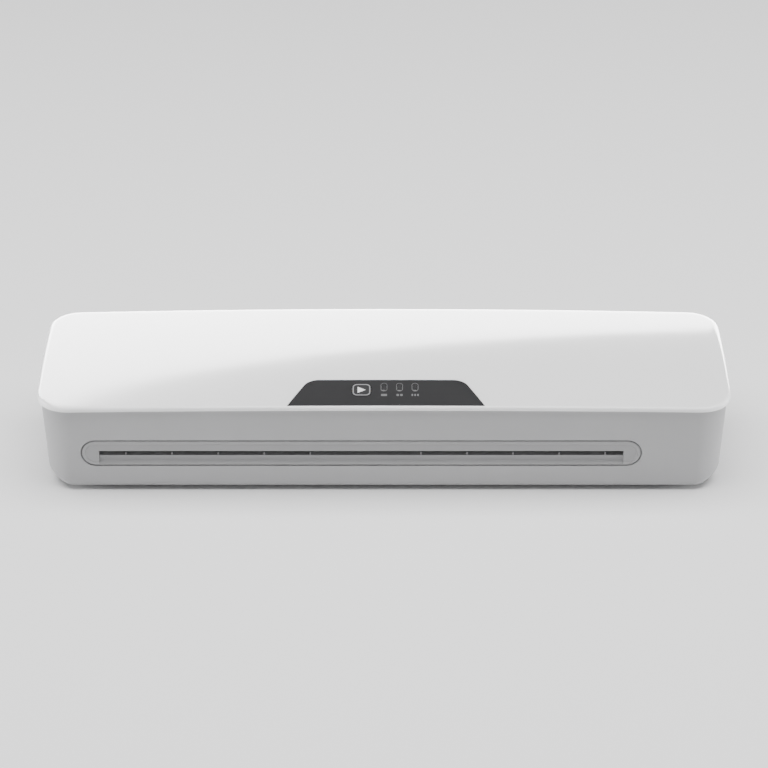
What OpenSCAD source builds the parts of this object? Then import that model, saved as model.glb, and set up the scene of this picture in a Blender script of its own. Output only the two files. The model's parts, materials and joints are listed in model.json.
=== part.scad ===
// Pouch laminator, A3 width: two heated rollers and two pull rollers in a steel chassis, inside a
// two-part moulded casing. Millimetres. +Z is up, the front faces -Y, the origin is on the table
// under the middle of the casing.

/* [Casing] */
// Overall width of the cover
body_w = 420; // [416:1:430]
// Overall depth, front lip to back
body_d = 112; // [112:1:116]
// Height of the front lip above the table, at the ends
lip_z = 57; // [57:0.5:60]
// Rise of the cover's top surface from the front lip to the back
cover_rise = 11.5; // [9:0.5:13]
// Corner radius in plan
corner_r = 20; // [18:1:22]
// Wall thickness of both mouldings
wall = 2.5; // [2.2:0.1:2.8]
// How far the cover's edge stands out over the lower housing
lip_overhang = 2; // [1.6:0.1:2.2]

/* [Pouch path] */
// Height of the pouch path above the table
path_z = 26; // [26:0.5:27]
// Width of the feed slot
slot_w = 318; // [310:1:320]
// Height of the feed slot
slot_h = 3; // [2.4:0.1:3.2]
// Middle of the slot, rollers and chassis: off to the left, which leaves room for the drive
path_x = -13.8; // [-14.4:0.2:-13]

/* [Rollers] */
// Axis of the heated pair, front to back
hot_y = -12; // [-13:0.5:-12]
// Axis of the pull pair, front to back
pull_y = 18; // [18:0.5:18.5]

/* [Hidden] */

$fn = 48;
eps = 0.02;

// --- casing shape ---
hx = body_w / 2;
hy = body_d / 2;
cover_edge = 2.6;        // cover thickness seen at the front lip
seam_crown = 1.5;        // the seam stands this much higher at mid width
top_crown = 2.9;         // and the top's back edge this much higher
floor_z = 2.5;           // underside of the housing
floor_t = 2.2;
front_draft = 4;         // how far the front wall leans in from lip to floor
side_draft = 3.5;
front_foot_r = 4;        // fillet between wall and floor, front and back
side_foot_r = 10;        // and at the two ends
parting_gap = 0.25;
arc_steps = 6;
side_steps = 14;
side_mid = 2;            // outline points between an end's middle and its corner
spine_bulge = 4;         // the two ends of the top's spine are rounded by this much

// --- drive ---
gear_m = 1;              // gear module
hot_teeth = 17;
pull_teeth = 14;
idler_teeth = 16;
pinion_teeth = 16;
gear_x = 168;
gear_w = 5.2;
flank_play = 0.06;       // each tooth flank is this much thinner than the ideal one
tip_h = 0.8;             // stub teeth, in modules
root_h = 1.25;
hot_r = hot_teeth * gear_m / 2;
pull_r = pull_teeth * gear_m / 2;
roller_gap = 0.1;        // each sleeve stops this far short of the nip line
journal_r = 3;
core_r = 4;
bearing_play = 0.04;
sleeve_half = 158.5;
shaft_core_half = 160;
frame_x = 165;           // inner face of each side frame
frame_t = 1.5;
frame_top = 52;
block_w = 10;
block_top = 5;           // bearing block's top above its bore

low_hot = [hot_y, path_z - hot_r];
up_hot = [hot_y, path_z + hot_r];
low_pull = [pull_y, path_z - pull_r];
up_pull = [pull_y, path_z + pull_r];

// Third corner of a triangle, above the line a-b, at distances da and db from its ends.
function apex(a, b, da, db) =
    let (base = norm(b - a), u = (b - a) / base, s = (da * da - db * db + base * base) / (2 * base))
    a + u * s + [-u[1], u[0]] * sqrt(da * da - s * s);
function angle_of(a, b) = atan2(b[1] - a[1], b[0] - a[0]);
function pitch(teeth) = teeth * gear_m / 2;
// Rotation of gear b that puts a gap where gear a, turned by phase_a, has a tooth.
function mesh_phase(phase_a, teeth_a, teeth_b, line) =
    line + 180 + (180 - (phase_a - line) * teeth_a) / teeth_b;

idler_at = apex(low_hot, low_pull, pitch(hot_teeth) + pitch(idler_teeth),
                pitch(idler_teeth) + pitch(pull_teeth));
pinion_at = low_pull + [pitch(pull_teeth) + pitch(pinion_teeth), 0];
hot_phase = 90;
up_hot_phase = mesh_phase(hot_phase, hot_teeth, hot_teeth, 90);
idler_phase = mesh_phase(hot_phase, hot_teeth, idler_teeth, angle_of(low_hot, idler_at));
pull_phase = mesh_phase(idler_phase, idler_teeth, pull_teeth, angle_of(idler_at, low_pull));
up_pull_phase = mesh_phase(pull_phase, pull_teeth, pull_teeth, 90);
pinion_phase = mesh_phase(pull_phase, pull_teeth, pinion_teeth, 0);

// --- controls ---
panel_t = 1.2;
panel_x = 1.2;               // middle of the dark panel
panel_y = [-54.2, -29.2];    // its front and back edges
panel_half = [59.5, 47];     // half widths there
panel_corner = 10;
button_at = [-13.6, -39.3];
button_size = [11, 11.2];
button_corner = 3;
button_proud = 0.25;
lens_size = [3, 7];
lens_y = -36.5;
lens_x = [0, 9.4, 18.8];
pcb_z = 54.5;
pcb_t = 1.6;

// ---------------------------------------------------------------- helpers

module along_x(x0, len) {
    translate([x0, 0, 0]) rotate([90, 0, 90]) linear_extrude(len) children();
}
module along_y(y0, len) {
    translate([0, y0 + len, 0]) rotate([90, 0, 0]) linear_extrude(len) children();
}
module rod_x(x0, len, at, r) {
    translate([x0, at[0], at[1]]) rotate([0, 90, 0]) cylinder(h = len, r = r);
}
module rod_y(y0, len, at, r) {
    translate([at[0], y0, at[1]]) rotate([-90, 0, 0]) cylinder(h = len, r = r);
}
module box(lo, hi) {
    translate(lo) cube(hi - lo);
}
module at_path() {
    translate([path_x, 0, 0]) children();
}
module both_ends() {
    children();
    mirror([1, 0, 0]) children();
}
// Stadium of full width w and full height h, centred.
module stadium(w, h) {
    n = h > 8 ? 18 : 8;
    polygon([for (s = [1, -1], i = [0:n]) let (a = -90 * s + 180 * i / n)
        [s * (w - h) / 2 + h / 2 * cos(a), h / 2 * sin(a)]]);
}
module rounded_rect(size, r) {
    square([size[0] - 2 * r, size[1]], center = true);
    square([size[0], size[1] - 2 * r], center = true);
    for (sx = [-1, 1], sy = [-1, 1])
        translate([sx * (size[0] / 2 - r), sy * (size[1] / 2 - r)]) circle(r = r);
}

// ---------------------------------------------------------------- casing outline and surfaces

// Half of the plan outline, from the middle of the left end round the front to the middle of the
// right end, as [point, outward normal].
function corner_points(cx, cy, a0) = [for (i = [0:arc_steps]) let (a = a0 + 90 * i / arc_steps)
    [[cx + corner_r * cos(a), cy + corner_r * sin(a)], [cos(a), sin(a)]]];
function side_points(s, order) = [for (i = order)
    [[s * hx, -(hy - corner_r) * i / (side_mid + 1)], [s, 0]]];
front_half = concat(
    side_points(-1, [0:side_mid]),
    corner_points(-(hx - corner_r), -(hy - corner_r), 180),
    [for (i = [1:side_steps - 1])
        [[(hx - corner_r) * (2 * i / side_steps - 1), -hy], [0, -1]]],
    corner_points(hx - corner_r, -(hy - corner_r), 270),
    side_points(1, [side_mid:-1:0]));
half_n = len(front_half);
outline = concat(front_half,
    [for (i = [half_n - 2:-1:1]) [[front_half[i][0][0], -front_half[i][0][1]],
                                  [front_half[i][1][0], -front_half[i][1][1]]]]);
ring_n = len(outline);

function across(x) = 1 - pow(x / hx, 2);
function along(y) = (y + hy) / body_d;
function seam_z(x) = lip_z + seam_crown * across(x);
function top_z(x, y) = lip_z + cover_edge + cover_rise * sin(90 * along(y))
    + (seam_crown + (top_crown - seam_crown) * along(y)) * across(x);
// Rounding of the cover's upper edge: crisp at the front lip, soft at the back.
function edge_r(y) = 1.8 + 6.2 * pow(max(0, along(y)), 1.5);
function inward(i, d) = outline[i][0] - outline[i][1] * d;
// Ring point i drawn in towards the spine of the top by share q, starting d inside the outline.
function to_spine(i, d, q) = let (p = inward(i, d), sx = hx - hy + spine_bulge * (1 - pow(p[1] / hy, 2)))
    [p[0] * (1 - q) + q * max(-sx, min(sx, p[0])), p[1] * (1 - q)];

function on_top(p, drop) = [p[0], p[1], top_z(p[0], p[1]) - drop];
function cover_wall_ring(inset, lift) = [for (i = [0:ring_n - 1]) let (p = inward(i, inset))
    [p[0], p[1], seam_z(p[0]) + lift]];
function cover_edge_ring(a) = [for (i = [0:ring_n - 1])
    let (r = edge_r(outline[i][0][1])) on_top(inward(i, r * (1 - cos(a))), r * (1 - sin(a)))];
function cover_top_ring(q, drop) = [for (i = [0:ring_n - 1])
    on_top(to_spine(i, edge_r(outline[i][0][1]), q), drop)];
function cover_inner_ring(share) = [for (i = [0:ring_n - 1])
    let (y = outline[i][0][1], r = edge_r(y), p = inward(i, wall + share * r),
         z = top_z(p[0], p[1]) - wall, low = seam_z(p[0]))
    [p[0], p[1], max(low + 0.05 + 0.02 * share, z - (1 - share) * 0.45 * (z - low))]];

spine_shares = [0.2, 0.4, 0.6, 0.8, 0.95];

// Faces between rings of ring_n points each; the rings run from the first cap to the last one.
function band_faces(rings) = [for (k = [0:rings - 2], i = [0:ring_n - 1])
    let (j = (i + 1) % ring_n, a = k * ring_n, b = (k + 1) * ring_n) [a + i, a + j, b + j, b + i]];
// A cap of strips that join the front of ring k to its back, so that a curved top stays curved. At
// each straight end, fans from the two neighbouring points take up the points along it.
function end_fan(m) = let (lo = m - side_mid - 2, hi = m + side_mid + 2) concat([[lo, m, hi]],
    [for (j = [0:side_mid]) each [[lo, m - j - 1, m - j], [m + j, m + j + 1, hi]]]);
function strip_cap(k, flip) = let (h = ring_n / 2, e = side_mid + 1, strips = concat(
        end_fan(0), [for (i = [e + 1:h - e - 2]) [i, i + 1, ring_n - i - 1, ring_n - i]], end_fan(h)))
    [for (f = strips) [for (t = [0:len(f) - 1])
        k * ring_n + (f[flip ? len(f) - 1 - t : t] + ring_n) % ring_n]];
module skin(rings) {
    points = [for (r = rings) each r];
    last = len(rings) - 1;
    polyhedron(points = points, convexity = 8,
        faces = concat(band_faces(last + 1), strip_cap(0, true), strip_cap(last, false)));
}

module cover_shell() {
    outer = concat(
        [for (q = [for (t = [len(spine_shares) - 1:-1:0]) spine_shares[t]]) cover_top_ring(q, 0)],
        [for (a = [90, 70, 50, 30, 0]) cover_edge_ring(a)],
        [cover_wall_ring(0, 0.5), cover_wall_ring(0.5, 0)]);
    inner = concat(
        [cover_wall_ring(wall, 0), cover_inner_ring(0.1), cover_inner_ring(1)],
        [for (q = spine_shares) [for (i = [0:ring_n - 1])
            on_top(to_spine(i, wall + edge_r(outline[i][0][1]), q), wall)]]);
    skin(concat(outer, inner));
}

// Lower housing: insets are measured from the cover's outline.
function lean(n) = abs(n[0]) * side_draft + max(0, -n[1]) * front_draft;
function foot_r(n) = front_foot_r + (side_foot_r - front_foot_r) * pow(n[0], 2);
function drafted(n, z) = lip_overhang + lean(n) * (lip_z - z) / (lip_z - floor_z);
function housing_rim(inset) = [for (i = [0:ring_n - 1])
    let (n = outline[i][1], q = inward(i, lip_overhang + inset), z = seam_z(q[0]) - parting_gap,
         p = inward(i, drafted(n, z) + inset)) [p[0], p[1], z]];
function housing_foot(a) = [for (i = [0:ring_n - 1])
    let (n = outline[i][1], r = foot_r(n), z = floor_z + r * (1 - sin(a)),
         p = inward(i, drafted(n, z) + r * (1 - cos(a)))) [p[0], p[1], z]];
// A ring of the hollow inside the housing: rise is the height over the underside, in foot radii
// plus a constant, and share adds that much of the foot radius to the wall's thickness.
function hollow_ring(radii, rise, share) = [for (i = [0:ring_n - 1])
    let (n = outline[i][1], z = floor_z + foot_r(n) * radii + rise,
         p = inward(i, drafted(n, z) + wall + share * foot_r(n))) [p[0], p[1], z]];

module housing_block() {
    skin(concat([housing_rim(0)], [for (a = [0, 23, 45, 67, 90]) housing_foot(a)]));
}
module housing_hollow() {
    skin([hollow_ring(0, 60, 0), hollow_ring(1, 0, 0), hollow_ring(0, floor_t, 0.38)]);
}
function front_wall_y(z) = -hy + drafted([0, -1], z);
back_wall_y = hy - lip_overhang;
front_tilt = atan(front_draft / (lip_z - floor_z));

// ---------------------------------------------------------------- fixings

post_z = 44;             // where the housing's screw posts meet the cover's
post_head_z = 36;        // seat of the screw head inside a post
post_r = 5.2;            // housing posts; the cover's are 1 mm slimmer
head_well_r = 3.4;
posts = [[-189.5, -39.5], [189.5, -39.5], [-189.5, 39.5]];
rear_screw_x = 110;
rear_screw_z = 46;
tap_r = 1.25;            // hole that a self-tapping screw cuts into
shank_r = 1.2;
clear_r = 1.7;
head_r = 2.8;
tab_at = [171.5, 26];    // chassis screws, mirrored to the four corners
tab_z = 6.2;
gland_at = [183, 44];
gland_r = 3.6;
gland_hole_r = 5.05;
vent_step = 22;          // floor vents under the pull rollers
vent_y = 28;
vent_size = [24, 3];
pcb_posts = [[-50, -32], [36, -32]];
tie_bar_at = [[-38, 41], [37, 40]];
bracket_posts = [[3, 45], [44, 44], [44.5, 14], [3.5, 10]];
main_pcb_posts = [[-40, 14], [-40, 33], [-26, 14], [-26, 47]];
bracket_x = 177;
bracket_t = 1.2;
motor_at = [22, 33];
motor_r = 24;
feet_at = [160, 34];
stadium_z = 27;          // middle of the feed and exit bezels
bezel_recess = 0.6;      // depth of their faces inside the rim
bezel_rim = 1.6;
mouth_depth = 2.2;       // the slot starts this deep in the wall, above a curved ramp
ramp_lip_z = 19.6;       // lower end of that ramp
mouth_flare = 0.8;       // and the slot's roof opens by this much
duct_half = 164;
bezel_w = 339.6;
bezel_h = 17.6;
bezel_play = 0.3;
slot_rib_x = [for (k = [0:4]) each [-143 + 28 * k, 148.2 - 28 * k]];

module screw(length, head = 1.8) {
    cylinder(h = head, r = head_r);
    translate([0, 0, -length]) cylinder(h = length, r = shank_r);
}
module four_corners() {
    for (sx = [-1, 1], sy = [-1, 1]) translate([sx * tab_at[0], sy * tab_at[1], 0]) children();
}
module on_front_wall() {
    translate([0, front_wall_y(stadium_z), stadium_z]) rotate([front_tilt, 0, 0]) children();
}
// A slab that follows the cover's top surface between two depths below it.
module surface_slab(x_half, y0, y1, drop_top, drop_bottom) {
    nx = 12;
    ny = 5;
    function at(i, j, drop) = let (x = x_half * (2 * i / nx - 1), y = y0 + (y1 - y0) * j / ny)
        [x, y, top_z(x, y) - drop];
    points = concat([for (j = [0:ny], i = [0:nx]) at(i, j, drop_top)],
                    [for (j = [0:ny], i = [0:nx]) at(i, j, drop_bottom)]);
    w = nx + 1;
    low = w * (ny + 1);
    polyhedron(points = points, convexity = 4, faces = concat(
        [for (j = [0:ny - 1], i = [0:nx - 1]) let (a = j * w + i) [a, a + w, a + w + 1, a + 1]],
        [for (j = [0:ny - 1], i = [0:nx - 1]) let (a = low + j * w + i) [a, a + 1, a + w + 1, a + w]],
        [for (i = [0:nx - 1]) [i, i + 1, low + i + 1, low + i]],
        [for (i = [0:nx - 1]) let (a = ny * w + i) [a + 1, a, low + a, low + a + 1]],
        [for (j = [0:ny - 1]) let (a = j * w) [a + w, a, low + a, low + a + w]],
        [for (j = [0:ny - 1]) let (a = j * w + nx) [a, a + w, low + a + w, low + a]]));
}

// ---------------------------------------------------------------- control panel outline

panel_side = let (v = [panel_half[0] - panel_half[1], panel_y[0] - panel_y[1]]) v / norm(v);
panel_normal = [-panel_side[1], panel_side[0]];
panel_arc_at = let (half = acos(-panel_side[0]) / 2, b = [-1, 0] + panel_side)
    [panel_half[1], panel_y[1]] + b / norm(b) * panel_corner / sin(half);
function panel_right(g) = concat(
    [[panel_half[0] + g * (panel_normal[0] - (1 + panel_normal[1]) * panel_side[0] / panel_side[1]),
      panel_y[0] - g]],
    [for (i = [0:8]) let (a0 = atan2(panel_normal[1], panel_normal[0]), a = a0 + (90 - a0) * i / 8)
        panel_arc_at + (panel_corner + g) * [cos(a), sin(a)]]);
module panel_shape(g) {
    right = panel_right(g);
    translate([panel_x, 0]) polygon(concat(right, [for (i = [len(right) - 1:-1:0]) [-right[i][0], right[i][1]]]));
}

// ---------------------------------------------------------------- casing

module top_cover() color("white") {
    difference() {
        union() {
            cover_shell();
            for (p = posts) translate([p[0], p[1], post_z + 0.05])
                cylinder(h = top_z(p[0], p[1]) - 1.2 - post_z, r = post_r - 1);
            for (p = pcb_posts) translate([p[0], p[1], pcb_z + pcb_t])
                cylinder(h = top_z(p[0], p[1]) - panel_t - 0.4 - pcb_z - pcb_t, r = 3);
            for (s = [-1, 1]) box([s * rear_screw_x - 6, back_wall_y - wall - 3.1, 41],
                [s * rear_screw_x + 6, back_wall_y - wall - 0.2, top_z(rear_screw_x, 50) - 1.4]);
        }
        intersection() {
            translate([0, 0, 40]) linear_extrude(50) panel_shape(0.15);
            surface_slab(64, -55, -26, -8, panel_t);
        }
        translate([button_at[0], button_at[1], 57]) linear_extrude(20)
            rounded_rect(button_size + [0.5, 0.5], button_corner + 0.2);
        for (x = lens_x) translate([x, lens_y, 57]) rotate(90) linear_extrude(20)
            stadium(lens_size[1] + 0.3, lens_size[0] + 0.3);
        for (p = posts) translate([p[0], p[1], post_z - 1]) cylinder(h = 11, r = tap_r);
        for (p = pcb_posts) translate([p[0], p[1], pcb_z]) cylinder(h = 6, r = tap_r);
        for (s = [-1, 1]) rod_y(45, 8, [s * rear_screw_x, rear_screw_z], tap_r);
    }
}

module lower_housing() color([0.7, 0.7, 0.71]) {
    difference() {
        housing_block();
        difference() {
            housing_hollow();
            for (p = posts) translate([p[0], p[1], 0]) cylinder(h = post_z, r = post_r);
            at_path() four_corners() cylinder(h = tab_z, r = 3.5);
        }
        at_path() {
            on_front_wall() along_y(-2, wall + 5)
                stadium(bezel_w + bezel_play * 2, bezel_h + bezel_play * 2);
            translate([0, 0, stadium_z]) along_y(back_wall_y - wall - 2, wall + 4)
                stadium(bezel_w + bezel_play * 2, bezel_h + bezel_play * 2);
            four_corners() translate([0, 0, floor_z + 0.8]) cylinder(h = tab_z, r = tap_r);
        }
        for (p = posts) translate([p[0], p[1], 0]) {
            translate([0, 0, 1]) cylinder(h = post_head_z - 1, r = head_well_r);
            cylinder(h = post_z + 1, r = clear_r);
        }
        for (s = [-1, 1]) {
            rod_y(back_wall_y - 1.2, 3, [s * rear_screw_x, rear_screw_z], 3.2);
            rod_y(back_wall_y - wall - 1, 5, [s * rear_screw_x, rear_screw_z], clear_r);
        }
        rod_y(back_wall_y - wall - 1, 5, gland_at, gland_hole_r);
        for (i = [-6:6]) translate([i * vent_step, vent_y, floor_z - 1]) rotate(90)
            linear_extrude(floor_t + 2) stadium(vent_size[0], vent_size[1]);
    }
}

module control_panel() color([0.2, 0.2, 0.21]) {
    difference() {
        intersection() {
            translate([0, 0, 40]) linear_extrude(50) panel_shape(0);
            surface_slab(64, -55, -26, 0, panel_t - eps);
        }
        translate([button_at[0], button_at[1], 50]) linear_extrude(30)
            rounded_rect(button_size + [0.5, 0.5], button_corner + 0.2);
        for (x = lens_x) translate([x, lens_y, 50]) rotate(90) linear_extrude(30)
            stadium(lens_size[1] + 0.12, lens_size[0] + 0.12);
    }
}

module indicator_lenses() color([0.85, 0.87, 0.9]) {
    for (x = lens_x) intersection() {
        translate([x, lens_y, pcb_z + pcb_t + 3.1]) rotate(90) linear_extrude(20)
            stadium(lens_size[1], lens_size[0]);
        surface_slab(64, -55, -26, 0.02, 20);
    }
}

module start_button() color([0.22, 0.22, 0.23]) {
    intersection() {
        translate([button_at[0], button_at[1], 59.8]) linear_extrude(20)
            rounded_rect(button_size, button_corner);
        surface_slab(64, -55, -26, -button_proud, 20);
    }
    translate([button_at[0], button_at[1], 58.9]) linear_extrude(1)
        rounded_rect(button_size + [2.4, 2.4], button_corner);
}
module switch_plunger() color("white") {
    translate([button_at[0], button_at[1], 57.2]) cylinder(h = 1.65, r = 1.75);
}

// Mouth of the pouch path: a flush stadium, a shallow recess, and a ramp that leads up to the slot.
module mouth_plate() {
    along_y(0, wall + 0.06) stadium(bezel_w, bezel_h);
    along_y(wall + 0.05, 1.55) stadium(bezel_w + 6.4, bezel_h + 4.7);
}
// What the slot and its ramp take out of a bezel, in a section through the machine: y is measured
// from the wall's outer surface at the lip of the ramp, into the machine.
module mouth_section(reach) {
    low = path_z - slot_h / 2;
    high = path_z + slot_h / 2;
    out = -8;
    translate([out, low]) square([reach - out, slot_h]);
    polygon([[out, ramp_lip_z - 1.4], [bezel_recess, ramp_lip_z], [mouth_depth - 0.5, ramp_lip_z + 0.9],
        [mouth_depth - 0.1, ramp_lip_z + 2], [mouth_depth, low + eps], [out, low + eps]]);
    polygon([[out, high - eps], [mouth_depth + 1.4, high - eps], [bezel_recess, high + mouth_flare],
        [out, high + mouth_flare]]);
}

module feed_bezel() color([0.68, 0.68, 0.69]) {
    y0 = front_wall_y(ramp_lip_z);
    low = path_z - slot_h / 2;
    difference() {
        on_front_wall() {
            mouth_plate();
            translate([0, 0, path_z - stadium_z]) along_y(4, 6) square([2 * duct_half, 12], center = true);
        }
        on_front_wall() along_y(-1, 1 + bezel_recess)
            stadium(bezel_w - 2 * bezel_rim, bezel_h - 2 * bezel_rim);
        along_x(-slot_w / 2, slot_w) translate([y0, 0]) mouth_section(14);
    }
    for (x = slot_rib_x) box([x - 0.4, y0 + mouth_depth + 0.4, low - eps],
        [x + 0.4, y0 + mouth_depth + 3.4, low + 1.5]);
}

module exit_bezel() color([0.68, 0.68, 0.69]) {
    duct_y = 42;
    guide_y = 26.5;
    low = path_z - slot_h / 2;
    high = path_z + slot_h / 2;
    difference() {
        union() {
            translate([0, back_wall_y, stadium_z]) mirror([0, 1, 0]) mouth_plate();
            box([-duct_half, duct_y, path_z - 6], [duct_half, back_wall_y - wall - 1.5, path_z + 6]);
            along_x(-duct_half, 2 * duct_half) polygon([[guide_y, path_z + 1.4], [duct_y + eps, high],
                [duct_y + eps, high + 2.6], [guide_y, path_z + 2.6]]);
            along_x(-duct_half, 2 * duct_half) polygon([[guide_y, path_z - 1.4],
                [guide_y, path_z - 2.6], [duct_y + eps, low - 2.6], [duct_y + eps, low]]);
        }
        translate([0, back_wall_y, stadium_z]) mirror([0, 1, 0]) along_y(-1, 1 + bezel_recess)
            stadium(bezel_w - 2 * bezel_rim, bezel_h - 2 * bezel_rim);
        along_x(-slot_w / 2, slot_w) translate([back_wall_y, 0]) mirror([1, 0])
            mouth_section(back_wall_y - duct_y + 1);
    }
}

module rubber_feet() color([0.12, 0.12, 0.12]) {
    for (sx = [-1, 1], sy = [-1, 1]) translate([sx * feet_at[0], sy * feet_at[1], 0])
        rotate_extrude() polygon([[0, 0], [6, 0], [7, 1], [7, floor_z], [0, floor_z]]);
}

module case_screws() color([0.25, 0.25, 0.26]) {
    for (p = posts) translate([p[0], p[1], post_head_z]) mirror([0, 0, 1]) screw(16, 2);
    for (s = [-1, 1]) translate([s * rear_screw_x, back_wall_y - 1.2, rear_screw_z])
        rotate([-90, 0, 0]) screw(6.8, 1.1);
}

module cord_gland() color([0.15, 0.15, 0.16]) {
    difference() {
        union() {
            rod_y(back_wall_y, 1.9, gland_at, 6.5);
            rod_y(back_wall_y - wall - 1, wall + 1.1, gland_at, gland_hole_r - 0.05);
            rod_y(back_wall_y - wall - 2, 1.95, gland_at, 6.2);
        }
        rod_y(back_wall_y - wall - 3, wall + 8, gland_at, gland_r);
    }
}

// ---------------------------------------------------------------- chassis

module frame_plate(holes) {
    difference() {
        along_x(frame_x, frame_t) polygon([[-44, 8], [-38, tab_z], [44, tab_z], [48, 10],
            [48, 48], [44, frame_top], [-34, frame_top], [-44, 44]]);
        for (at = [up_hot, up_pull]) box([frame_x - 1, at[0] - block_w / 2 - 0.1, at[1] - 5.2],
            [frame_x + 3, at[0] + block_w / 2 + 0.1, frame_top + 1]);
        for (at = [low_hot, low_pull]) rod_x(frame_x - 1, 4, at, 5.03);
        for (at = tie_bar_at) rod_x(frame_x - 1, 4, at, clear_r);
        for (at = holes) rod_x(frame_x - 1, 4, at, clear_r);
    }
    for (s = [-1, 1]) difference() {
        box([frame_x + frame_t - eps, s * tab_at[1] - 5, tab_z],
            [frame_x + frame_t + 10, s * tab_at[1] + 5, tab_z + frame_t]);
        translate([tab_at[0], s * tab_at[1], 0]) cylinder(h = 20, r = clear_r);
    }
}

module left_frame() color([0.72, 0.73, 0.75]) mirror([1, 0, 0]) frame_plate([]);
module right_frame() color([0.72, 0.73, 0.75]) difference() {
    frame_plate(concat(bracket_posts, main_pcb_posts));
    rod_x(frame_x - 1, 4, idler_at, 2);
}
module tie_bars() color([0.6, 0.61, 0.63]) {
    for (at = tie_bar_at) difference() {
        rod_x(-frame_x, 2 * frame_x, at, 3);
        rod_x(-frame_x - 1, 11, at, tap_r);
        rod_x(frame_x - 10, 11, at, tap_r);
    }
}
module frame_screws() color([0.5, 0.51, 0.53]) {
    at_path() {
        four_corners() translate([0, 0, tab_z + frame_t]) screw(4.2);
        both_ends() for (at = tie_bar_at) translate([frame_x + frame_t, at[0], at[1]])
            rotate([0, 90, 0]) screw(8, 1.4);
        for (at = bracket_posts) translate([bracket_x + bracket_t, at[0], at[1]])
            rotate([0, 90, 0]) screw(6);
        for (at = main_pcb_posts) translate([bracket_x + pcb_t, at[0], at[1]])
            rotate([0, 90, 0]) screw(6);
    }
    for (p = pcb_posts) translate([p[0], p[1], pcb_z]) mirror([0, 0, 1]) screw(5, 1.4);
}
module standoffs() color([0.8, 0.75, 0.5]) {
    for (at = concat(bracket_posts, main_pcb_posts)) difference() {
        rod_x(frame_x + frame_t, bracket_x - frame_x - frame_t, at, 3.2);
        rod_x(frame_x, 20, at, tap_r);
    }
}

// ---------------------------------------------------------------- pouch guides

guide_half = 164.5;
module feed_guide_upper() color([0.3, 0.3, 0.31]) along_x(-guide_half, 2 * guide_half)
    polygon([[-40.8, path_z + 2], [-19.5, path_z + 1], [-19.5, path_z + 2.2],
             [-39.6, path_z + 3.2], [-39.6, 36], [-40.8, 36]]);
module feed_guide_lower() color([0.3, 0.3, 0.31]) along_x(-guide_half, 2 * guide_half)
    polygon([[-40.8, path_z - 2.4], [-40.8, 16], [-39.6, 16], [-39.6, path_z - 3.6],
             [-19.5, path_z - 2.2], [-19.5, path_z - 1]]);
module mid_guides() color([0.3, 0.3, 0.31]) for (s = [-1, 1])
    box([-guide_half, -4.5, path_z + s * 1.9 - 0.5], [guide_half, 11.5, path_z + s * 1.9 + 0.5]);

// ---------------------------------------------------------------- heaters

shoe_half = 156;
shoe_top = 47.5;
heater_rod_at = [hot_y - 12.5, path_z - 13];
// Part of a ring round a roller axis, between two angles from +Y.
module ring_sector(at, r0, r1, a0, a1) {
    n = 16;
    translate(at) polygon(concat(
        [for (i = [0:n]) let (a = a0 + (a1 - a0) * i / n) r1 * [cos(a), sin(a)]],
        [for (i = [n:-1:0]) let (a = a0 + (a1 - a0) * i / n) r0 * [cos(a), sin(a)]]));
}
module upper_heat_shoe() color([0.75, 0.76, 0.78]) along_x(-shoe_half, 2 * shoe_half) union() {
    ring_sector(up_hot, 9.8, 11.8, 15, 165);
    translate([hot_y - 8, up_hot[1] + 10.6]) square([16, shoe_top - up_hot[1] - 10.6]);
}
module lower_heat_shoe() color([0.75, 0.76, 0.78]) along_x(-shoe_half, 2 * shoe_half) difference() {
    union() {
        ring_sector(low_hot, 9.2, 11, 195, 345);
        translate(heater_rod_at) circle(r = 3.6);
    }
    translate(heater_rod_at) circle(r = 2.2);
    translate(low_hot) circle(r = 9.2);
}
module upper_heater_strip() color([0.75, 0.62, 0.42])
    box([-150, hot_y - 6.5, shoe_top], [150, hot_y + 6.5, shoe_top + 1.2]);
module lower_heater_rod() color([0.6, 0.6, 0.62]) rod_x(-162, 324, heater_rod_at, 2.15);
module shoe_insulators() color([0.88, 0.86, 0.8]) both_ends() {
    difference() {
        box([shoe_half, hot_y - 7, shoe_top - 3.4], [frame_x - 0.05, hot_y + 7, shoe_top]);
        box([160.3, hot_y - 3.6, shoe_top - 4], [frame_x, hot_y + 3.6, shoe_top + 1]);
    }
    difference() {
        box([shoe_half, heater_rod_at[0] - 3.4, heater_rod_at[1] - 3.4],
            [frame_x - 0.05, heater_rod_at[0] + 3.4, heater_rod_at[1] + 3.4]);
        rod_x(shoe_half - 1, 8, heater_rod_at, 2.25);
    }
}
module thermostat() color([0.3, 0.3, 0.32]) translate([-60, hot_y, shoe_top + 1.25]) {
    cylinder(h = 1, r = 8);
    cylinder(h = 5, r = 6.4);
    for (s = [-1, 1]) box([s * 9 - 3, -2, 2.4], [s * 9 + 3, 2, 3.2]);
}
module thermal_fuse() color([0.8, 0.8, 0.82]) {
    rod_x(33, 14, [hot_y, shoe_top + 3.2], 1.8);
    rod_x(23, 34, [hot_y, shoe_top + 3.2], 0.4);
}
module heat_shield() color([0.78, 0.79, 0.8]) {
    difference() {
        box([-167, -26, 57.2], [167, 34, 58]);
        for (i = [-7:7]) translate([i * 20, 6, 56]) rotate(90) linear_extrude(4) stadium(36, 5);
    }
    both_ends() for (span = [[-26, -21], [-3, 9], [27, 34]])
        box([frame_x + 0.2, span[0], frame_top], [frame_x + 1.3, span[1], 57.2]);
}

// ---------------------------------------------------------------- bearings and springs

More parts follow.
